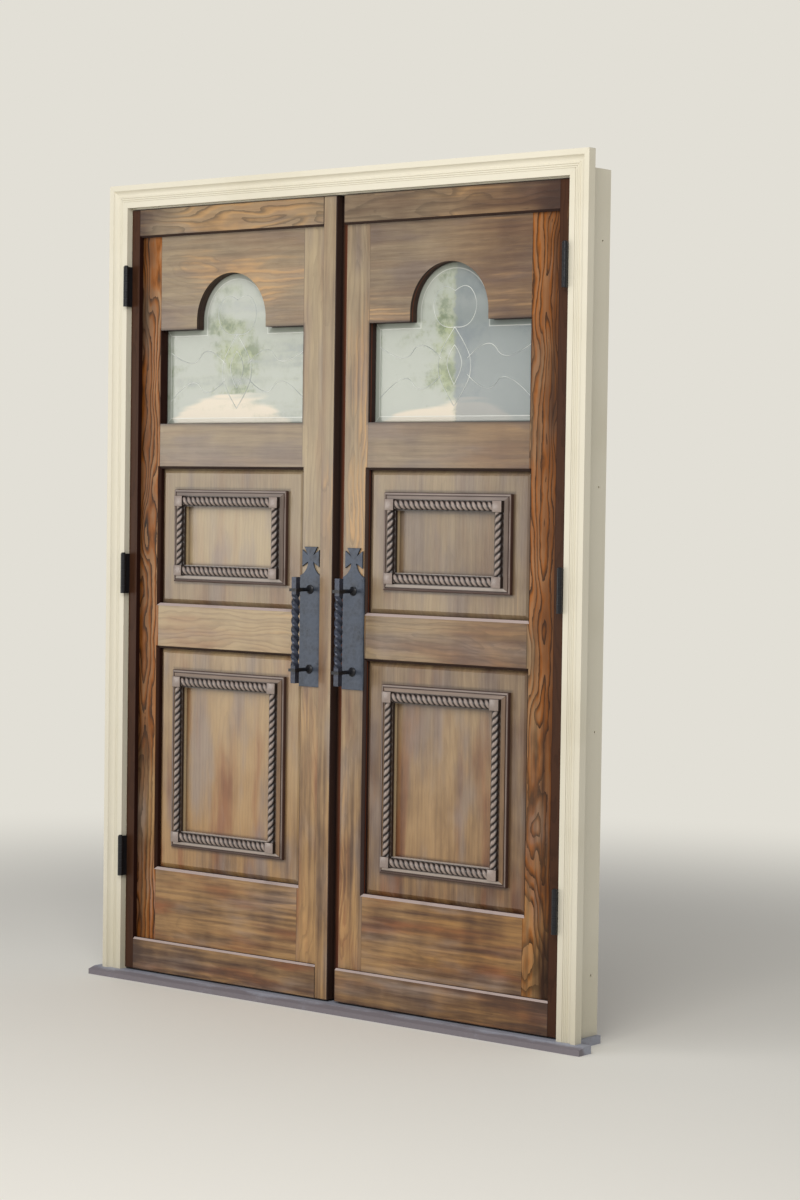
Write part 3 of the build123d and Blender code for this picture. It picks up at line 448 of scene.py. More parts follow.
class Timber(Finish):
    """Stained and varnished wood of one board, with the noises that its stain and figure share.

    The seed shifts the noises, so that no two boards have the same figure.
    """

    def __init__(self, name, board, side, seed):
        super().__init__(name)
        self.board, self.side, self.seed = board, side, seed
        self.colours = bpy.context.scene.door_timber
        self.x, self.y, self.z = self.place()
        self.run, self.across = (self.z, self.x) if board.along == "Z" else (self.x, self.z)
        self.fibre = self.grain(14, 420, seed, detail=3.0, roughness=0.6)
        self.streak = self.grain(1.7, 60, seed, detail=4.0)
        self.mottle = self.grain(6, 48, seed, seed, detail=4.0, roughness=0.6)
        self.patch = self.noise((self.x, self.y, self.z), (7, 7, 5), (seed, 0, seed), detail=3.0)
        self.low = self.fade(self.z + (self.patch - 0.5) * 0.5, 0.2, 1.6)

    def grain(self, along, across, shift, depth_shift=0.0, **quality):
        """Noise that is stretched along the grain."""
        where = (self.run, self.across, self.y)
        return self.noise(where, (along, across, across), (shift, 0, depth_shift), **quality)

    def growth(self, middle):
        """How far a point is through its growth ring, from 0 to 1."""
        seed, wander = self.seed, self.board.wander
        heart, start = middle if self.board.along == "Z" else reversed(middle)
        heart += 0.02 * math.sin(seed * 2.3)
        start += 0.3 * math.sin(seed * 1.7)
        slant = 0.028 + 0.012 * math.sin(seed * 5.1)
        drift = self.grain(1.9, 6, seed) - 0.5
        ripple = self.grain(14, 45, -seed, detail=3.0) - 0.5
        sideways = (self.across - heart) + drift * (0.07 * wander)
        rise = (self.run - start) * slant + drift * (0.09 * wander) + self.y
        radius = (sideways * sideways * 0.35 + rise * rise) ** 0.5
        return ((radius + ripple * 0.011) / self.board.ring).fraction()

    def thinness(self, shade, lively):
        """How thin the stain is, less thin in the painted shade near the hinge edge and towards the right
        of the right leaf.
        """
        along_grain = (self.streak - 0.5) * 1.1 + (self.mottle - 0.5) * 0.7
        uneven = (self.patch - 0.5) * 0.9 + along_grain * lively
        pale = self.board.pale[SIDES.index(self.side)]
        thin = uneven * (self.low * 0.9 + 0.5) + (self.fibre - 0.5) * 0.26 - shade * 0.45 + pale
        # Painted shade: the right leaf darkens towards its right edge.
        if self.side == "right":
            thin = thin - self.ramp(self.x, 0.40, 0.80) * 0.18
        if self.board.orange > 0.5:
            thin = thin + self.low * 0.25
        return thin

    def ground(self, thin):
        """The stained wood between its rings: warmer low down, with red casts and a painted bluish sheen.
        """
        colours, low, seed = self.colours, self.low, self.seed
        red = self.grain(2.2, 13, 2 * seed, detail=3.0)
        cool = self.grain(3, 11, -seed, -seed, detail=3.0)
        warm = low * 0.8
        if self.side == "right" and self.board.along == "X":
            warm = self.ramp(self.x, 0.25, 0.65) * 0.6 + warm
        wood = self.layers(
            colours.pale,
            (warm.at_most(1.0), colours.golden),
            (self.ramp(red, 0.46, 0.68) * (low * 0.50 + 0.20), colours.russet),
            # Painted bluish sheen, in patches.
            (self.ramp(cool, 0.46, 0.70) * (low * 0.15 + 0.58), colours.bluish_sheen),
        )
        return self.mix(self.ramp(thin, -0.25, 1.1), colours.walnut, wood)

    def figured(self, wood, growth, late):
        """Wood with glowing wisps and with the dark lines of late wood."""
        orange = self.board.orange
        cloud = self.grain(1.6, 5, self.seed, self.seed)
        wisp = self.ramp(growth, 0.30, 0.62) * self.fade(growth, 0.72, 0.95)
        flame = self.ramp(cloud + (self.streak - 0.5) * 0.35, 0.72 - 0.5 * orange, 0.9 - 0.5 * orange)
        glow = self.colours.flame if orange > 0.5 else self.colours.honey
        wood = self.mix(flame * (wisp * 0.5 + 0.1 + 0.35 * orange), wood, glow)
        line = late * self.board.contrast * (flame * 0.5 + 0.1 + self.streak * 0.5 + self.mottle * 0.5)
        return self.mix(line.at_most(1.0), wood, self.colours.late)

    def dirty(self, wood, box, edges, outside):
        """Wood with dark joints round the board, and grime with painted shade along the edges of what is
        set in it.
        """
        colours = self.colours
        joint = self.fade(abs(box_distance(self.x, self.z, *box)), 0.0006, 0.0030)
        wood = self.mix(joint * 0.55, wood, colours.grime_and_shade)
        # Grime with painted shade, darkest right at each edge.
        for edge in edges:
            near = self.fade(abs(box_distance(self.x, self.z, *edge)), 0.0, colours.edge_grime_and_shade)
            wood = self.mix(near * (0.3 + 0.6 * self.patch) * outside, wood, colours.grime_and_shade)
        return wood

    def worn(self, wood, edge, top):
        """Wood with painted shade on its sides and in the meeting rebate, which turns red-brown, and a
        painted highlight on edges that face up.
        """
        colours = self.colours
        # Painted shade in the meeting rebate: dark brown, turning red-brown further right.
        before = self.ramp(self.y, MEETING_REBATE - 0.003, MEETING_REBATE - 0.001)
        rebate = before * self.fade(self.y, MEETING_REBATE + 0.0005, MEETING_REBATE + 0.001)
        rebate_shade = self.mix(self.ramp(self.x, 0.002, 0.022) * 0.6, colours.grime_and_shade, colours.russet)
        # Painted highlight on faces that slope up, in patches.
        sloping = self.ramp(top, 0.60, 0.68) * self.fade(top, 0.75, 0.95)
        sky_glint = sloping * self.ramp(self.patch, 0.15, 0.45)
        return self.layers(
            wood,
            # Painted shade on the sides, bevels and reveals, which face away from the front.
            (edge * (0.82 + 0.18 * self.patch), colours.grime_and_shade),
            (rebate * 0.92, rebate_shade),
            (sky_glint * 0.75, colours.worn),
        )


def timber(name, board, side, seed, box, edges, margin=None):
    """The finish of one board.

    Edges are the rectangles that grime and painted shade gather along. Only a panel has a margin,
    which says how much paler its wood is outside its moulding, the first of its edges.
    """
    finish = Timber(name, board, side, seed)
    x, y, patch, fibre = finish.x, finish.y, finish.patch, finish.fibre
    growth = finish.growth(box[0])
    late = finish.ramp(growth, 0.48 - 0.25 * board.orange, 0.97) * finish.fade(growth, 0.97, 1.0)
    shade = finish.fade(abs(x - hinge_edge(side)) + (patch - 0.5) * 0.10, 0.0, 0.14)
    if margin is None:
        outside = 1.0
        thin = finish.thinness(shade, lively=1.0)
    else:
        outside = finish.fade(y, PANEL_FRONT - 0.002, PANEL_FRONT + 0.002)
        beyond = finish.ramp(box_distance(x, finish.z, *edges[0]), 0.0, 0.006)
        thin = finish.thinness(shade, lively=0.55) + beyond * margin * outside
    wood = finish.figured(finish.ground(thin), growth, late)
    # Painted shade: boards with an orange figure darken to the late-wood colour near the hinge edge.
    wood = finish.mix(shade * (0.8 * board.orange), wood, finish.colours.late)
    wood = finish.dirty(wood, box, edges, outside)
    _, front, top = finish.facing()
    # Faces that don't look out of the leaf: sides, bevels and reveals, which take painted shade.
    edge = finish.fade(abs(front), 0.78, 0.84)
    finish.set(
        Base_Color=finish.worn(wood, edge, top),
        Roughness=(fibre - 0.5) * 0.18 + (patch - 0.5) * 0.12 + edge * 0.3 + finish.colours.gloss,
        Normal=finish.bump(fibre * 0.6 - late * 0.3, 0.0009, 0.35),
        Coat_Weight=(1 - edge) * (0.25 * (1 - board.dull)),
        Coat_Roughness=0.28,
        Specular_IOR_Level=0.5 - 0.4 * board.dull,
    )
    return finish


class DOOR_OT_timber(bpy.types.Operator):
    """Stain and varnish the stiles, rails, planted boards and glazing beads of both leaves"""

    bl_idname = "door.timber"
    bl_label = "Stiles, Rails and Boards"

    def execute(self, context):
        seed = 1.0
        for side in SIDES:
            holes = openings(side)
            for part, board in BOARDS.items():
                node = f"{side}_{part}"
                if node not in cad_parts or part.endswith("panel"):
                    continue
                seed += 3.7
                planted = part.endswith(("strip", "band", "beads"))
                paint(node, timber(node, board, side, seed, span(node), [] if planted else holes))
        return {"FINISHED"}


class DOOR_OT_panels(bpy.types.Operator):
    """Stain and varnish the four raised panels"""

    bl_idname = "door.panels"
    bl_label = "Raised Panels"

    def execute(self, context):
        seed = 2.0
        for side in SIDES:
            for place in PLACES:
                seed += 5.3
                node = f"{side}_{place}_panel"
                moulding = span(f"{side}_{place}_moulding")
                field = (moulding[0], tuple(size - MOULDING_WIDTH for size in moulding[1]))
                # Grime and painted shade gather along the moulding's outer edge and along the field inside
                # it.
                edges, margin = [moulding, field], MARGINS[side][place]
                board = BOARDS[f"{place}_panel"]
                paint(node, timber(node, board, side, seed, span(node), edges, margin))
        return {"FINISHED"}


# Mouldings and rope-twist rods


def moulding_wood(name, box, seed):
    """Dark moulding whose grain follows each mitred length, with a quirk beside its bead, painted shade on
    its walls, quirk, bottom edge, under its rods and on its inner wall, and painted highlights on its bead
    and level members.
    """
    trim = bpy.context.scene.door_trim
    stain = bpy.context.scene.door_timber
    (middle_x, middle_z), (half_x, half_z) = box
    finish = Finish(name)
    x, y, z = finish.place()
    sideways = abs(x - middle_x) - half_x
    upwards = abs(z - middle_z) - half_z
    inset = sideways.at_least(upwards) * -1
    upright = finish.step(sideways - upwards, 0.0, 0.0002)
    level = 1 - upright
    above = finish.step(z, middle_z, 0.001)
    bottom = level * (1 - above)
    run = upright * z + level * x
    fibre = finish.noise((run, inset, y), (10, 380, 380), (seed, 0, 0), detail=3.0, roughness=0.6)
    patch = finish.noise((x, y, z), 9, (0, 0, seed))
    low = finish.fade(z + (patch - 0.5) * 0.4, 0.5, 1.4)

    # Masks for the painted shade on the outer wall and in the quirk, and for the painted highlight on the
    # bead.
    wall_shade = finish.fade(inset, 0.0008, 0.0026)
    bead = finish.fade(inset, QUIRK_INSET - 0.0023, QUIRK_INSET - 0.0008)
    quirk = finish.fade(abs(inset - QUIRK_INSET), 0.0010, 0.0026)
    outer = finish.fade(inset, QUIRK_INSET + 0.0007, QUIRK_INSET + 0.0037)
    inner = finish.ramp(inset, MOULDING_WIDTH - 0.0012, MOULDING_WIDTH - 0.0002)
    # Painted shade on the seat under the rods.
    rod_shadow = finish.step(inset, SEAT_INSET, 0.0015) * (1 - inner)
    # Painted shade at the front of the inner wall, under the rods, fading to the pale wood behind.
    foot_shade = finish.mix(finish.ramp(y, 0.0, 0.007), trim.valley, stain.pale)
    wood = finish.layers(
        trim.face,
        (low * 0.5, stain.golden),
        (bead, trim.bead),
        (finish.fade(fibre * 0.5 + patch * 0.5, 0.3, 0.7) * 0.5, stain.late),
        # Painted reflection on the top members, painted shade on the walls, the quirk and the outer part
        # of the bottom member, a painted reflection on its inner part, and painted shade under the rods.
        (level * above * 0.2, trim.worn),
        (inner, foot_shade),
        (wall_shade * 0.9, trim.wall_shade),
        (quirk * 0.9, trim.wall_shade),
        (bottom * outer * 0.75, trim.wall_shade),
        (bottom * (1 - outer) * 0.8, trim.worn),
        (rod_shadow * 0.85, trim.valley),
    )
    finish.set(
        Base_Color=wood,
        Roughness=(fibre - 0.5) * 0.2 + bead * 0.15 + 0.40,
        Normal=finish.bump(fibre, 0.0005, 0.4),
        Coat_Weight=0.15 - bead * 0.15,
        Coat_Roughness=0.28,
    )
    return finish


def rope_wood():
    """Stained rope-twist rods with painted shade between the strands and a painted highlight, with some
    wear, on the crests that face the front.
    """
    trim = bpy.context.scene.door_trim
    stain = bpy.context.scene.door_timber
    finish = Finish("rope_wood")
    place = finish.place()
    crest = finish.add("ShaderNodeAttribute", {"attribute_name": "crest"}, output="Fac")
    grain = finish.noise(place, 160, detail=3.0, roughness=0.6)
    patch = finish.noise(place, 12)
    _, front, _ = finish.facing()
    # Painted highlight with some wear on crests that face the front; the rest keeps the painted shade of
    # the valleys.
    worn = finish.ramp(crest + (grain - 0.5) * 0.25, 0.35, 1.0) * finish.ramp(front * -1, 0.40, 0.92)
    finish.set(
        Base_Color=finish.layers(trim.valley, (worn, trim.crest), ((1 - patch) * 0.5, stain.late)),
        Roughness=0.50 - worn * 0.22,
        Normal=finish.bump(grain, 0.0004, 0.4),
        Coat_Weight=0.25,
        Coat_Roughness=0.25,
    )
    return finish


def mark_crests(piece, height):
    """Store how near each point is to a crest, from 0 to 1, which the finish of the rods paints lit and
    worn, and the rest in shade.
    """
    crest = piece.data.attributes.new("crest", "FLOAT", "POINT")
    for index, point in enumerate(piece.data.vertices):
        crest.data[index].value = height(point.co)


def rope_rod(reach, pitch, spread, start):
    """A half-round rod of two twisted strands, which stands up from start with its flat back there."""
    settings = bpy.context.scene.door_trim
    crest, valley = settings.crest_radius, settings.valley_radius
    points = 28
    steps_per_strand = 14
    roundness = 0.75
    bpy.ops.object.select_all(action="DESELECT")
    bpy.ops.mesh.primitive_circle_add(vertices=points, radius=crest, location=(0, 0, 0))
    rod = bpy.context.object
    for point in rod.data.vertices:
        turn = math.atan2(point.co.y, point.co.x)
        swell = abs(math.cos(turn)) ** roundness
        point.co *= (valley + (crest - valley) * swell) / crest
    twist = rod.modifiers.new("Twist", "SCREW")
    twist.axis = "Z"
    twist.angle = math.pi * reach / pitch
    twist.screw_offset = reach
    twist.steps = round(reach / pitch * steps_per_strand)
    twist.render_steps = twist.steps
    twist.use_normal_calculate = True
    bpy.ops.object.modifier_apply(modifier="Twist")
    mark_crests(rod, lambda place: (math.hypot(place.x, place.y) - valley) / (crest - valley))
    bpy.ops.object.mode_set(mode="EDIT")
    bpy.ops.mesh.select_all(action="SELECT")
    bpy.ops.mesh.fill_holes(sides=0)
    bpy.ops.mesh.select_all(action="SELECT")
    bpy.ops.mesh.bisect(plane_co=(0, 0, 0), plane_no=(0, 1, 0), use_fill=True, clear_outer=True)
    bpy.ops.mesh.select_all(action="SELECT")
    bpy.ops.mesh.normals_make_consistent(inside=False)
    bpy.ops.transform.resize(value=(spread, 1, 1), center_override=(0, 0, 0))
    bpy.ops.object.mode_set(mode="OBJECT")
    rod.location = start
    return rod


def corner_block(middle, size, arris):
    """A square block with bevelled edges."""
    bpy.ops.object.select_all(action="DESELECT")
    bpy.ops.mesh.primitive_cube_add(size=1, location=middle)
    block = bpy.context.object
    block.scale = size
    bpy.ops.object.transform_apply(location=False, rotation=False, scale=True)
    bevel = block.modifiers.new("Arris", "BEVEL")
    bevel.width = arris
    bevel.segments = 2
    bpy.ops.object.modifier_apply(modifier="Arris")
    # Painted light: the block's front takes the lit crest colour, and its sides the dark valley colour as
    # painted shade.
    mark_crests(block, lambda place: 0.85 if place.y < 0 else 0.1)
    return block


def rope_frame(node):
    """Four corner blocks and the four rods between them, in the place of a CAD node."""
    settings = bpy.context.scene.door_trim
    gap = 0.0003
    low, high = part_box(node)
    (middle_x, middle_z), (half_x, half_z) = span(node)
    front, back = low[1], high[1]
    rod_x, rod_z = half_x - SEAT_WIDTH / 2, half_z - SEAT_WIDTH / 2
    block_size = (SEAT_WIDTH, back - front, SEAT_WIDTH)
    pieces = []
    for across in (-1, 1):
        for up in (-1, 1):
            centre = (middle_x + across * rod_x, (front + back) / 2, middle_z + up * rod_z)
            pieces.append(corner_block(centre, block_size, settings.block_arris))
    for across in (-1, 1):
        start = (middle_x + across * rod_x, back, low[2] + SEAT_WIDTH + gap)
        reach = 2 * (half_z - SEAT_WIDTH - gap)
        pieces.append(rope_rod(reach, settings.upright_pitch, settings.upright_spread, start))
    for up in (-1, 1):
        start = (low[0] + SEAT_WIDTH + gap, back, middle_z + up * rod_z)
        reach = 2 * (half_x - SEAT_WIDTH - gap)
        rod = rope_rod(reach, settings.level_pitch, settings.level_spread, start)
        rod.rotation_euler = (0, math.pi / 2, 0)
        pieces.append(rod)
    return pieces


class DOOR_OT_mouldings(bpy.types.Operator):
    """Stain the mitred mouldings on the panels"""

    bl_idname = "door.mouldings"
    bl_label = "Panel Mouldings"

    def execute(self, context):
        seed = 4.0
        for side in SIDES:
            for place in PLACES:
                node = f"{side}_{place}_moulding"
                seed += 2.9
                paint(node, moulding_wood(node, span(node), seed))
        return {"FINISHED"}


class DOOR_OT_rope_trim(bpy.types.Operator):
    """Turn the rope-twist rods and the corner blocks that they run between"""

    bl_idname = "door.rope_trim"
    bl_label = "Rope-Twist Rods"

    def execute(self, context):
        wood = rope_wood()
        for side in SIDES:
            for place in PLACES:
                node = f"{side}_{place}_rope_trim"
                pick(rope_frame(node))
                bpy.ops.object.transform_apply(location=True, rotation=True, scale=True)
                bpy.ops.object.join()
                trim = settle(bpy.context.object, f"{side}_{place}_rope", f"{side}_leaf", wood)
                bpy.ops.object.shade_smooth_by_angle(angle=math.radians(50))
                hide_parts(node)
        return {"FINISHED"}


# Glass


class Pane(typing.NamedTuple):
    """The painted reflections in the glass of one leaf."""

    dim: float  # how much of the glass stays dark
    cool: float  # how far its blue-grey part stays dark
    crown: float  # how bright its arch is


PANES = {"left": Pane(0.46, 0.40, 0.32), "right": Pane(0.47, 0.75, 0.12)}
# Drawn lines, as points across and up. The spindle and the bud are given from the heart of the light
# in shares of the spindle's size, a tendril from the heart and its end from the light's middle, both
# in shares of the light's half size, and the crown from the arch's middle in shares of its radius.
SPINDLE = ((0, -1), (1, -0.45), (1.25, 0), (1, 0.45), (0, 1))
BUD = ((0, -0.45), (0.55, -0.10), (0.50, 0.30), (0, 0.55))
TENDRIL = ((0.16, 0.16), (0.42, 0.62), (0.62, 0.02))
TENDRIL_END = ((0.94, 0.52),)
CROWN = ((0.35, -0.35), (0.62, 0.15), (0.30, 0.62), (0, 0.42))


def light_distance(x, z, light, arch):
    """Distance outside the light's outline, below 0 on the glass."""
    (arch_x, arch_z), radius = arch
    sideways = abs(x - arch_x)
    above = (z - arch_z).at_least(0.0)
    round_top = (sideways * sideways + above * above) ** 0.5 - radius
    neck = (light[0][1] - z).at_least(round_top)
    return box_distance(x, z, *light).at_most(neck)


def glass_depths(finish, place, light, side, seed):
    """Painted reflections in a pane: leafy greens, blue-grey, a pale sky, warm light low down and a
    brighter arch.
    """
    colours, pane = bpy.context.scene.door_glass, PANES[side]
    (middle_x, middle_z), (_, half_z) = light
    across, up = place[0] - middle_x, place[2] - middle_z
    cloud = finish.noise(place, (9, 0, 7), (seed, seed, 0), detail=4.0, roughness=0.6)
    leaf = finish.noise(place, (30, 0, 30), (seed, seed, 0), detail=4.0, roughness=0.7)
    band = finish.noise(place, (2, 0, 16), (0, seed, seed), detail=3.0)
    if side == "right":
        cool = finish.ramp(across * 10.0 + (leaf - 0.5) * 0.5, -0.1, 0.1)
    else:
        cool = finish.ramp(band + (leaf - 0.5) * 0.4, 0.46, 0.66)
    leafy = finish.ramp(cloud * 0.4 + leaf * 0.6, 0.42, 0.56)
    depth = finish.layers(colours.shade, (leafy, colours.green), (cool, colours.blue))
    low = finish.fade(up + across * across * 1.2 + (band - 0.5) * 0.24, -0.085, -0.060)
    sky = finish.mix(low, colours.pale, colours.warm)
    centre = finish.ramp(abs(across) + (cloud - 0.5) * 0.15, 0.02, 0.16)
    # Painted light: the arch brightens.
    crown = finish.ramp(up - half_z, 0.0, 0.06)
    bright = cloud * 0.45 + leaf * 0.25 + band * 0.3 + low * 0.22 + centre * 0.14 + crown * 0.06
    bright = finish.ramp(bright, pane.dim - 0.04, pane.dim + 0.14)
    tone = finish.layers(
        depth, (bright * (1 - cool * pane.cool), sky), (crown * pane.crown, colours.bevel_line)
    )
    return tone, cloud, leaf


def bevelled_glass(name, light, arch, side, seed):
    """Pale glass with a bevelled border, and painted reflections: a lighter border with a bright line
    along it and its mitres, soft green and blue tones, and painted shade round its rim.
    """
    colours = bpy.context.scene.door_glass
    (middle_x, middle_z), (half_x, half_z) = light
    finish = Finish(name)
    place = finish.place()
    x, _, z = place
    tone, cloud, leaf = glass_depths(finish, place, light, side, seed)
    inside = light_distance(x, z, light, arch) * -1
    # Painted highlight: the bevelled border is lighter, with a bright line along its inner edge and its
    # mitres.
    border = 1 - finish.step(inside, colours.bevel, 0.0008)
    line = finish.fade(abs(inside - colours.bevel), 0.0006, 0.0022)
    corner = (half_x - half_z) - abs(x - middle_x) + abs(z - middle_z)
    mitre = finish.fade(abs(corner), 0.0006, 0.0022) * border
    # Painted shade round the rim of the glass, under the reveal.
    rim_shade = finish.fade(inside, 0.0, 0.004)
    finish.set(
        Base_Color=finish.layers(
            tone,
            (border * 0.3, colours.pale),
            (line.at_least(mitre) * 0.5, colours.bevel_line),
            (rim_shade * 0.8, bpy.context.scene.door_timber.grime_and_shade),
        ),
        Roughness=0.12 + leaf * 0.1,
        Transmission_Weight=0.15,
        IOR=1.5,
        Normal=finish.bump(cloud + leaf * 0.2, 0.002, 0.2),
        Coat_Weight=0.3,
        Coat_Roughness=0.08,
    )
    return finish


def drawn_line_glass():
    """Polished raised lines on the glass."""
    colours = bpy.context.scene.door_glass
    finish = Finish("drawn_line_glass")
    grain = finish.noise(finish.place(), 14)
    blue = finish.ramp(grain, 0.3, 0.7) * 0.5 + 0.2
    finish.set(
        Base_Color=finish.mix(blue, colours.bevel_line, colours.blue),
        Roughness=grain * 0.2 + 0.08,
        Coat_Weight=0.5,
    )
    return finish


def drawn_line(points, y, radius):
    """A thin smooth line through points in the plane of the glass."""
    bpy.ops.object.select_all(action="DESELECT")
    curve = bpy.data.curves.new("line", "CURVE")
    curve.dimensions = "3D"
    curve.bevel_depth = radius
    curve.bevel_resolution = 2
    curve.resolution_u = 10
    curve.use_fill_caps = True
    spline = curve.splines.new("NURBS")
    spline.points.add(len(points) - 1)
    for point, (x, z) in zip(spline.points, points):
        point.co = (x, y, z, 1)
    spline.order_u = 3
    spline.use_endpoint_u = True
    line = bpy.data.objects.new("line", curve)
    bpy.context.scene.collection.objects.link(line)
    pick([line])
    bpy.ops.object.convert(target="MESH")
    return bpy.context.object


def from_shares(points, middle, size):
    """Places in X and Z of points that are given as shares of a size, from a middle."""
    return [(middle[0] + across * size[0], middle[1] + up * size[1]) for across, up in points]


def glass_lines(light, arch):
    """The drawn lines of one light, as lists of points: a spindle with tendrils to the corners."""
    middle, (half_x, half_z) = light
    arch_middle, radius = arch
    heart = (middle[0], middle[1] + 0.10 * half_z)
    wide, tall = 0.17 * half_x, 0.78 * half_z
    lines = []
    for way in (-1, 1):
        lines.append(from_shares(SPINDLE, heart, (way * wide, tall)))
        lines.append(from_shares(BUD, heart, (way * wide, tall)))
        for lift in (-1, 1):
            size = (way * half_x, lift * half_z)
            lines.append(from_shares(TENDRIL, heart, size) + from_shares(TENDRIL_END, middle, size))
        tip = (heart[0], heart[1] + tall)
        lines.append([tip] + from_shares(CROWN, arch_middle, (way * radius, radius)))
    return lines


class DOOR_OT_glass(bpy.types.Operator):
    """Finish the bevelled glass and lay the drawn lines on it"""

    bl_idname = "door.glass"
    bl_label = "Arched Lights"

    def execute(self, context):
        settings = context.scene.door_glass
        seed = 0.0
        for side in SIDES:
            seed += 7.3
            light = openings(side)[2]
            low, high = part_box(f"{side}_glass")
            arch = ((light[0][0], high[2] - ARCH_COVER - ARCH_RADIUS), ARCH_RADIUS)
            paint(f"{side}_glass", bevelled_glass(f"{side}_glass", light, arch, side, seed))
            polished = drawn_line_glass()
            lines = glass_lines(light, arch)
            pick([drawn_line(points, low[1], settings.line_radius) for points in lines])
            bpy.ops.object.join()
            settle(bpy.context.object, f"{side}_glass_lines", f"{side}_leaf", polished)
            bpy.ops.object.shade_smooth()
        return {"FINISHED"}


# Ironwork


def forged_iron(name, face, roughness):
    """Hammered iron, darker in its hollows."""
    settings = bpy.context.scene.door_iron
    finish = Finish(name)
    place = finish.place()
    hammered = {"Vector": finish.stretch(place, 1 / settings.hammer), "Scale": 1.0, "Smoothness": 0.6}
    marks = finish.add("ShaderNodeTexVoronoi", {"feature": "SMOOTH_F1"}, hammered)
    scale = finish.noise(place, 220, detail=4.0, roughness=0.6)
    patch = finish.noise(place, 18, detail=3.0)
    dark = finish.fade(patch * 0.7 + scale * 0.3 + marks * 0.15, 0.3, 0.68)
    finish.set(
        Base_Color=finish.mix(dark * 0.75, face, settings.hollow),
        Metallic=0.35,
        Roughness=(patch - 0.5) * 0.25 + (scale - 0.5) * 0.15 + roughness,
        Normal=finish.bump(marks * -0.6 + scale * 0.12, 0.0016, 0.5),
    )
    return finish


def brushed_steel():
    """Steel with fine upright scratches."""
    settings = bpy.context.scene.door_iron
    finish = Finish("brushed_steel")
    scratch = finish.noise(finish.place(), (900, 900, 30), detail=3.0)
    finish.set(
        Base_Color=finish.mix(scratch * 0.5, settings.steel, settings.hollow),
        Metallic=0.9,
        Roughness=scratch * 0.25 + 0.2,
        Normal=finish.bump(scratch, 0.0002, 0.3),
    )
    return finish


def seal_rubber():
    """Dark rubber with dust on it."""
    settings = bpy.context.scene.door_frame
    finish = Finish("seal_rubber")
    dust = finish.noise(finish.place(), 40, detail=3.0)
    finish.set(
        Base_Color=finish.mix(dust * 0.5, settings.seal, settings.sill_worn),
        Roughness=dust * 0.2 + 0.6,
    )
    return finish


class DOOR_OT_pulls(bpy.types.Operator):
    """Finish the forged pull handles and their bolts"""

    bl_idname = "door.pulls"
    bl_label = "Pull Handles"

    def execute(self, context):
        settings = context.scene.door_iron
        plate = forged_iron("forged_plate", settings.plate, 0.42)
        post = forged_iron("forged_post", settings.hinge, 0.38)
        bar = forged_iron("forged_bar", settings.bar, 0.34)
        for side in SIDES:
            paint(f"{side}_pull_plate", plate)
            paint(f"{side}_pull_bolts", plate)
            paint(f"{side}_pull_bar", bar)
            paint(f"{side}_pull_posts", post)
        return {"FINISHED"}


def hinge_heights(side):
    """The middle height of each hinge on a side, from the door's hinge leaves."""
    least_gap = 0.2
    heights = sorted(point.co.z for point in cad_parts[f"{side}_hinge_leaves"].data.vertices)
    groups = [[heights[0]]]
    for height in heights:
        if height - groups[-1][-1] > least_gap:
            groups.append([])
        groups[-1].append(height)
    return [(group[0] + group[-1]) / 2 for group in groups]


def screw_head(place, way):
    """A flat countersunk head with a slot, which faces along X, to the left where way is -1."""
    settings = bpy.context.scene.door_iron
    thickness = 0.0006
    slot_depth = 0.0004
    slot_slope = 0.00005
    bpy.ops.object.select_all(action="DESELECT")
    bpy.ops.mesh.primitive_cylinder_add(
        vertices=24, radius=settings.screw_radius, depth=thickness, location=(0, 0, 0)
    )
    head = bpy.context.object
    bpy.ops.object.mode_set(mode="EDIT")
    bpy.ops.mesh.select_mode(type="FACE")
    bpy.ops.mesh.select_all(action="SELECT")
    for offset in (-settings.screw_slot, settings.screw_slot):
        bpy.ops.mesh.bisect(plane_co=(0, offset, 0), plane_no=(0, 1, 0))
        bpy.ops.mesh.select_all(action="SELECT")
    bpy.ops.mesh.select_all(action="DESELECT")
    bpy.ops.object.mode_set(mode="OBJECT")
    for face in head.data.polygons:
        face.select = face.normal.z > 0.9 and abs(face.center.y) < settings.screw_slot
    bpy.ops.object.mode_set(mode="EDIT")
    bpy.ops.mesh.inset(thickness=slot_slope)
    bpy.ops.transform.translate(value=(0, 0, -slot_depth))
    bpy.ops.object.mode_set(mode="OBJECT")
    head.rotation_euler = (0, way * math.pi / 2, 0)
    head.location = place
    return head


def plate_screws(side, body, face, way, finish):
    """The screws in the hinge plates of one side, whose faces lie at the X of face and look way."""
    heads = []
    for middle in hinge_heights(side):
        for y, up in SCREW_PLACES:
            heads.append(screw_head((face + way * SCREW_LIFT, y, middle + up), way))
    pick(heads)
    bpy.ops.object.transform_apply(location=True, rotation=True, scale=True)
    bpy.ops.object.join()
    return settle(bpy.context.object, f"{side}_{body}_hinge_screws", body, finish)


class DOOR_OT_hinges(bpy.types.Operator):
    """Finish the hinges and drive their screws"""

    bl_idname = "door.hinges"
    bl_label = "Hinges"

    def execute(self, context):
        settings = context.scene.door_iron
        black = forged_iron("hinge_iron", settings.hinge, 0.36)
        for node in ("hinge_frame_leaves", "hinge_pins", "left_hinge_leaves", "right_hinge_leaves"):
            paint(node, black)
        for side in SIDES:
            way, edge = OUTWARD[side], hinge_edge(side)
            plate_screws(side, f"{side}_leaf", edge, way, black)
            plate_screws(side, "frame", edge + way * HINGE_GAP, -way, black)
        return {"FINISHED"}


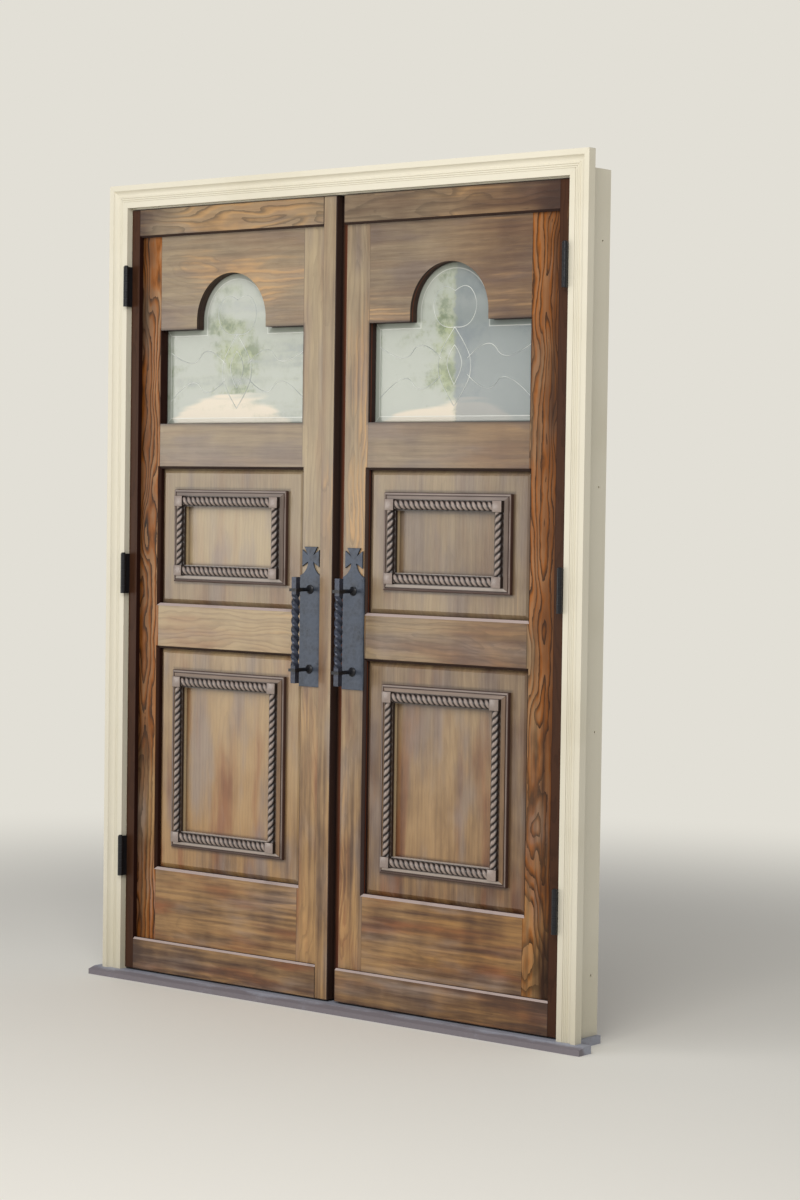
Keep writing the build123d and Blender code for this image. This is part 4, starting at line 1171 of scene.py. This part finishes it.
class DOOR_OT_fittings(bpy.types.Operator):
    """Finish the flush bolts, their keepers and the seals"""

    bl_idname = "door.fittings"
    bl_label = "Bolts and Seals"

    def execute(self, context):
        steel = brushed_steel()
        for node in ("right_top_bolt", "right_bottom_bolt", "right_bolt_guides", "bolt_keepers"):
            paint(node, steel)
        rubber = seal_rubber()
        for node in ("frame_seals", "sill_seal"):
            paint(node, rubber)
        return {"FINISHED"}


# Frame and sill


def painted_board(name, along):
    """Cream paint with brush marks along a board, yellowed here and there and near the floor."""
    settings = bpy.context.scene.door_frame
    finish = Finish(name)
    x, y, z = finish.place()
    run, across = (z, x) if along == "Z" else (x, z)
    brush = finish.noise((run, across, y), (9, 300, 300))
    patch = finish.noise((x, y, z), 3, detail=4.0)
    low = finish.fade(z + (patch - 0.5) * 0.3, 0.05, 0.35)
    old = finish.ramp(patch, 0.45, 0.85) * 0.5 + low * 0.5
    finish.set(
        Base_Color=finish.mix(old, settings.paint, settings.shade),
        Roughness=(patch - 0.5) * 0.15 + 0.45,
        Normal=finish.bump(brush, 0.0004, 0.3),
    )
    return finish


def painted_sill():
    """Blue-grey paint, worn along the sill's nose and specked."""
    settings = bpy.context.scene.door_frame
    finish = Finish("sill")
    place = finish.place()
    patch = finish.noise(place, (6, 14, 14), detail=5.0, roughness=0.6)
    speck = finish.noise(place, 120, detail=3.0)
    nose = finish.fade(place[1], -0.066, -0.035)
    worn = finish.ramp(patch + nose * 0.35 + (speck - 0.5) * 0.2, 0.45, 0.8)
    finish.set(
        Base_Color=finish.mix(worn, settings.sill, settings.sill_worn),
        Roughness=0.55 + worn * 0.2,
        Normal=finish.bump(patch * 0.5 + speck * 0.2, 0.001, 0.4),
    )
    return finish


class DOOR_OT_frame(bpy.types.Operator):
    """Paint the jambs and casings"""

    bl_idname = "door.frame"
    bl_label = "Frame"

    def execute(self, context):
        for place, along in (("left", "Z"), ("right", "Z"), ("head", "X")):
            for part in ("jamb", "casing"):
                node = f"{place}_{part}"
                paint(node, painted_board(node, along))
        return {"FINISHED"}


class DOOR_OT_sill(bpy.types.Operator):
    """Paint the sill and wear it along its nose"""

    bl_idname = "door.sill"
    bl_label = "Sill"

    def execute(self, context):
        paint("sill", painted_sill())
        return {"FINISHED"}


# Stage


# Each lamp's place, the height over the floor that it aims at, its size and its tint.
LAMPS = {
    "key": ((3.2, -5.2, 4.6), 1.2, (4.0, 3.0), (1.0, 0.98, 0.94)),
    "sheen": ((-4.7, -5.0, 1.5), 1.3, (2.8, 2.0), (1.0, 0.97, 0.92)),
    "top": ((-0.5, -3.0, 5.2), 1.2, (4.0, 2.0), (0.93, 0.95, 1.0)),
}
# The camera's place, how far it turns left from looking straight in, how far it dips, and its roll.
CAMERA_PLACE = (5.5308, -6.438, 1.5775)
CAMERA_TURN = math.radians(39.348)
CAMERA_DIP = math.radians(2.200)
CAMERA_ROLL = math.radians(0.792)


def area_light(name, place, aim, size, power, tint):
    """A soft rectangular light that shines from place to aim."""
    lamp = bpy.data.lights.new(name, "AREA")
    lamp.shape = "RECTANGLE"
    lamp.size, lamp.size_y = size
    lamp.energy = power
    lamp.color = tint
    holder = bpy.data.objects.new(name, lamp)
    bpy.context.scene.collection.objects.link(holder)
    holder.location = place
    holder.rotation_euler = (Vector(aim) - Vector(place)).to_track_quat("-Z", "Y").to_euler()


def lay_floor(settings):
    """A plain floor that turns into the backdrop away from the door."""
    bpy.ops.object.select_all(action="DESELECT")
    bpy.ops.mesh.primitive_plane_add(size=60, location=(0, 0, 0))
    floor = bpy.context.object
    floor.name = "floor"
    finish = Finish("floor")
    x, y, z = finish.place()
    cloud = finish.noise((x, y, z), (0.6, 0.6, 1), detail=3.0)
    finish.set(Base_Color=finish.mix(cloud * 0.12, settings.floor, settings.floor_cloud), Roughness=0.7)
    far = finish.ramp((x * x + y * y) ** 0.5, settings.clear, settings.horizon)
    lit = Wire(finish, finish.shader.outputs[0])
    plain = finish.add("ShaderNodeEmission", inputs={"Color": settings.background})
    seen = finish.add("ShaderNodeMixShader", inputs={0: far, 1: lit, 2: plain})
    finish.feed(finish.tree.nodes["Material Output"].inputs["Surface"], seen)
    floor.data.materials.append(finish.material)


def light_sky(settings):
    """Soft light from all round, which the camera sees as the plain backdrop."""
    world = bpy.data.worlds.new("Studio")
    world.use_nodes = True
    bpy.context.scene.world = world
    sky = Nodes(world.node_tree)
    soft = {"Color": settings.sky_tint, "Strength": settings.sky}
    plain = {"Color": settings.background, "Strength": 1.0}
    inputs = {
        0: sky.add("ShaderNodeLightPath", output="Is Camera Ray"),
        1: sky.add("ShaderNodeBackground", inputs=soft),
        2: sky.add("ShaderNodeBackground", inputs=plain),
    }
    seen = sky.add("ShaderNodeMixShader", inputs=inputs)
    sky.feed(sky.tree.nodes["World Output"].inputs["Surface"], seen)


def set_up_camera(settings):
    """The camera at the photo's viewing angle."""
    camera = bpy.data.cameras.new("camera")
    camera.lens = settings.lens
    camera.sensor_width = 36
    camera.clip_end = 100
    holder = bpy.data.objects.new("camera", camera)
    bpy.context.scene.collection.objects.link(holder)
    holder.location = CAMERA_PLACE
    level = math.cos(CAMERA_DIP)
    ahead = Vector((-math.sin(CAMERA_TURN) * level, math.cos(CAMERA_TURN) * level, -math.sin(CAMERA_DIP)))
    holder.rotation_mode = "QUATERNION"
    holder.rotation_quaternion = ahead.to_track_quat("-Z", "Y") @ Quaternion((0, 0, 1), CAMERA_ROLL)
    bpy.context.scene.camera = holder


class DOOR_OT_stage(bpy.types.Operator):
    """Lay the floor, hang the lights and set up the camera"""

    bl_idname = "door.stage"
    bl_label = "Stage"

    def execute(self, context):
        settings = context.scene.door_stage
        context.scene.view_settings.view_transform = "Standard"
        lay_floor(settings)
        light_sky(settings)
        for name, (place, height, size, tint) in LAMPS.items():
            area_light(f"{name}_light", place, (0, 0, height), size, getattr(settings, name), tint)
        set_up_camera(settings)
        return {"FINISHED"}


OPERATORS = (
    DOOR_OT_frame,
    DOOR_OT_sill,
    DOOR_OT_timber,
    DOOR_OT_panels,
    DOOR_OT_mouldings,
    DOOR_OT_rope_trim,
    DOOR_OT_glass,
    DOOR_OT_pulls,
    DOOR_OT_hinges,
    DOOR_OT_fittings,
    DOOR_OT_stage,
)
SETTINGS = {
    "door_timber": TimberSettings,
    "door_trim": TrimSettings,
    "door_glass": GlassSettings,
    "door_iron": IronSettings,
    "door_frame": FrameSettings,
    "door_stage": StageSettings,
}


class DOOR_PT_panel(bpy.types.Panel):
    """Settings and steps of the door's finish"""

    bl_idname = "DOOR_PT_panel"
    bl_label = "Double Door"
    bl_space_type = "VIEW_3D"
    bl_region_type = "UI"
    bl_category = "Double Door"

    def draw(self, context):
        for name in SETTINGS:
            settings = getattr(context.scene, name)
            box = self.layout.box()
            for prop in settings.__annotations__:
                box.prop(settings, prop)
        for operator in OPERATORS:
            self.layout.operator(operator.bl_idname)


def register():
    for group in SETTINGS.values():
        bpy.utils.register_class(group)
    for name, group in SETTINGS.items():
        setattr(bpy.types.Scene, name, bpy.props.PointerProperty(type=group))
    for operator in OPERATORS:
        bpy.utils.register_class(operator)
    bpy.utils.register_class(DOOR_PT_panel)


def unregister():
    bpy.utils.unregister_class(DOOR_PT_panel)
    for operator in reversed(OPERATORS):
        bpy.utils.unregister_class(operator)
    for name, group in SETTINGS.items():
        delattr(bpy.types.Scene, name)
        bpy.utils.unregister_class(group)


def main():
    """Finish the frame's nodes, add the fine parts and set the stage."""
    register()
    bpy.ops.door.frame()
    bpy.ops.door.sill()
    bpy.ops.door.timber()
    bpy.ops.door.panels()
    bpy.ops.door.mouldings()
    bpy.ops.door.rope_trim()
    bpy.ops.door.glass()
    bpy.ops.door.pulls()
    bpy.ops.door.hinges()
    bpy.ops.door.fittings()
    bpy.ops.door.stage()


if __name__ == "__main__":
    main()
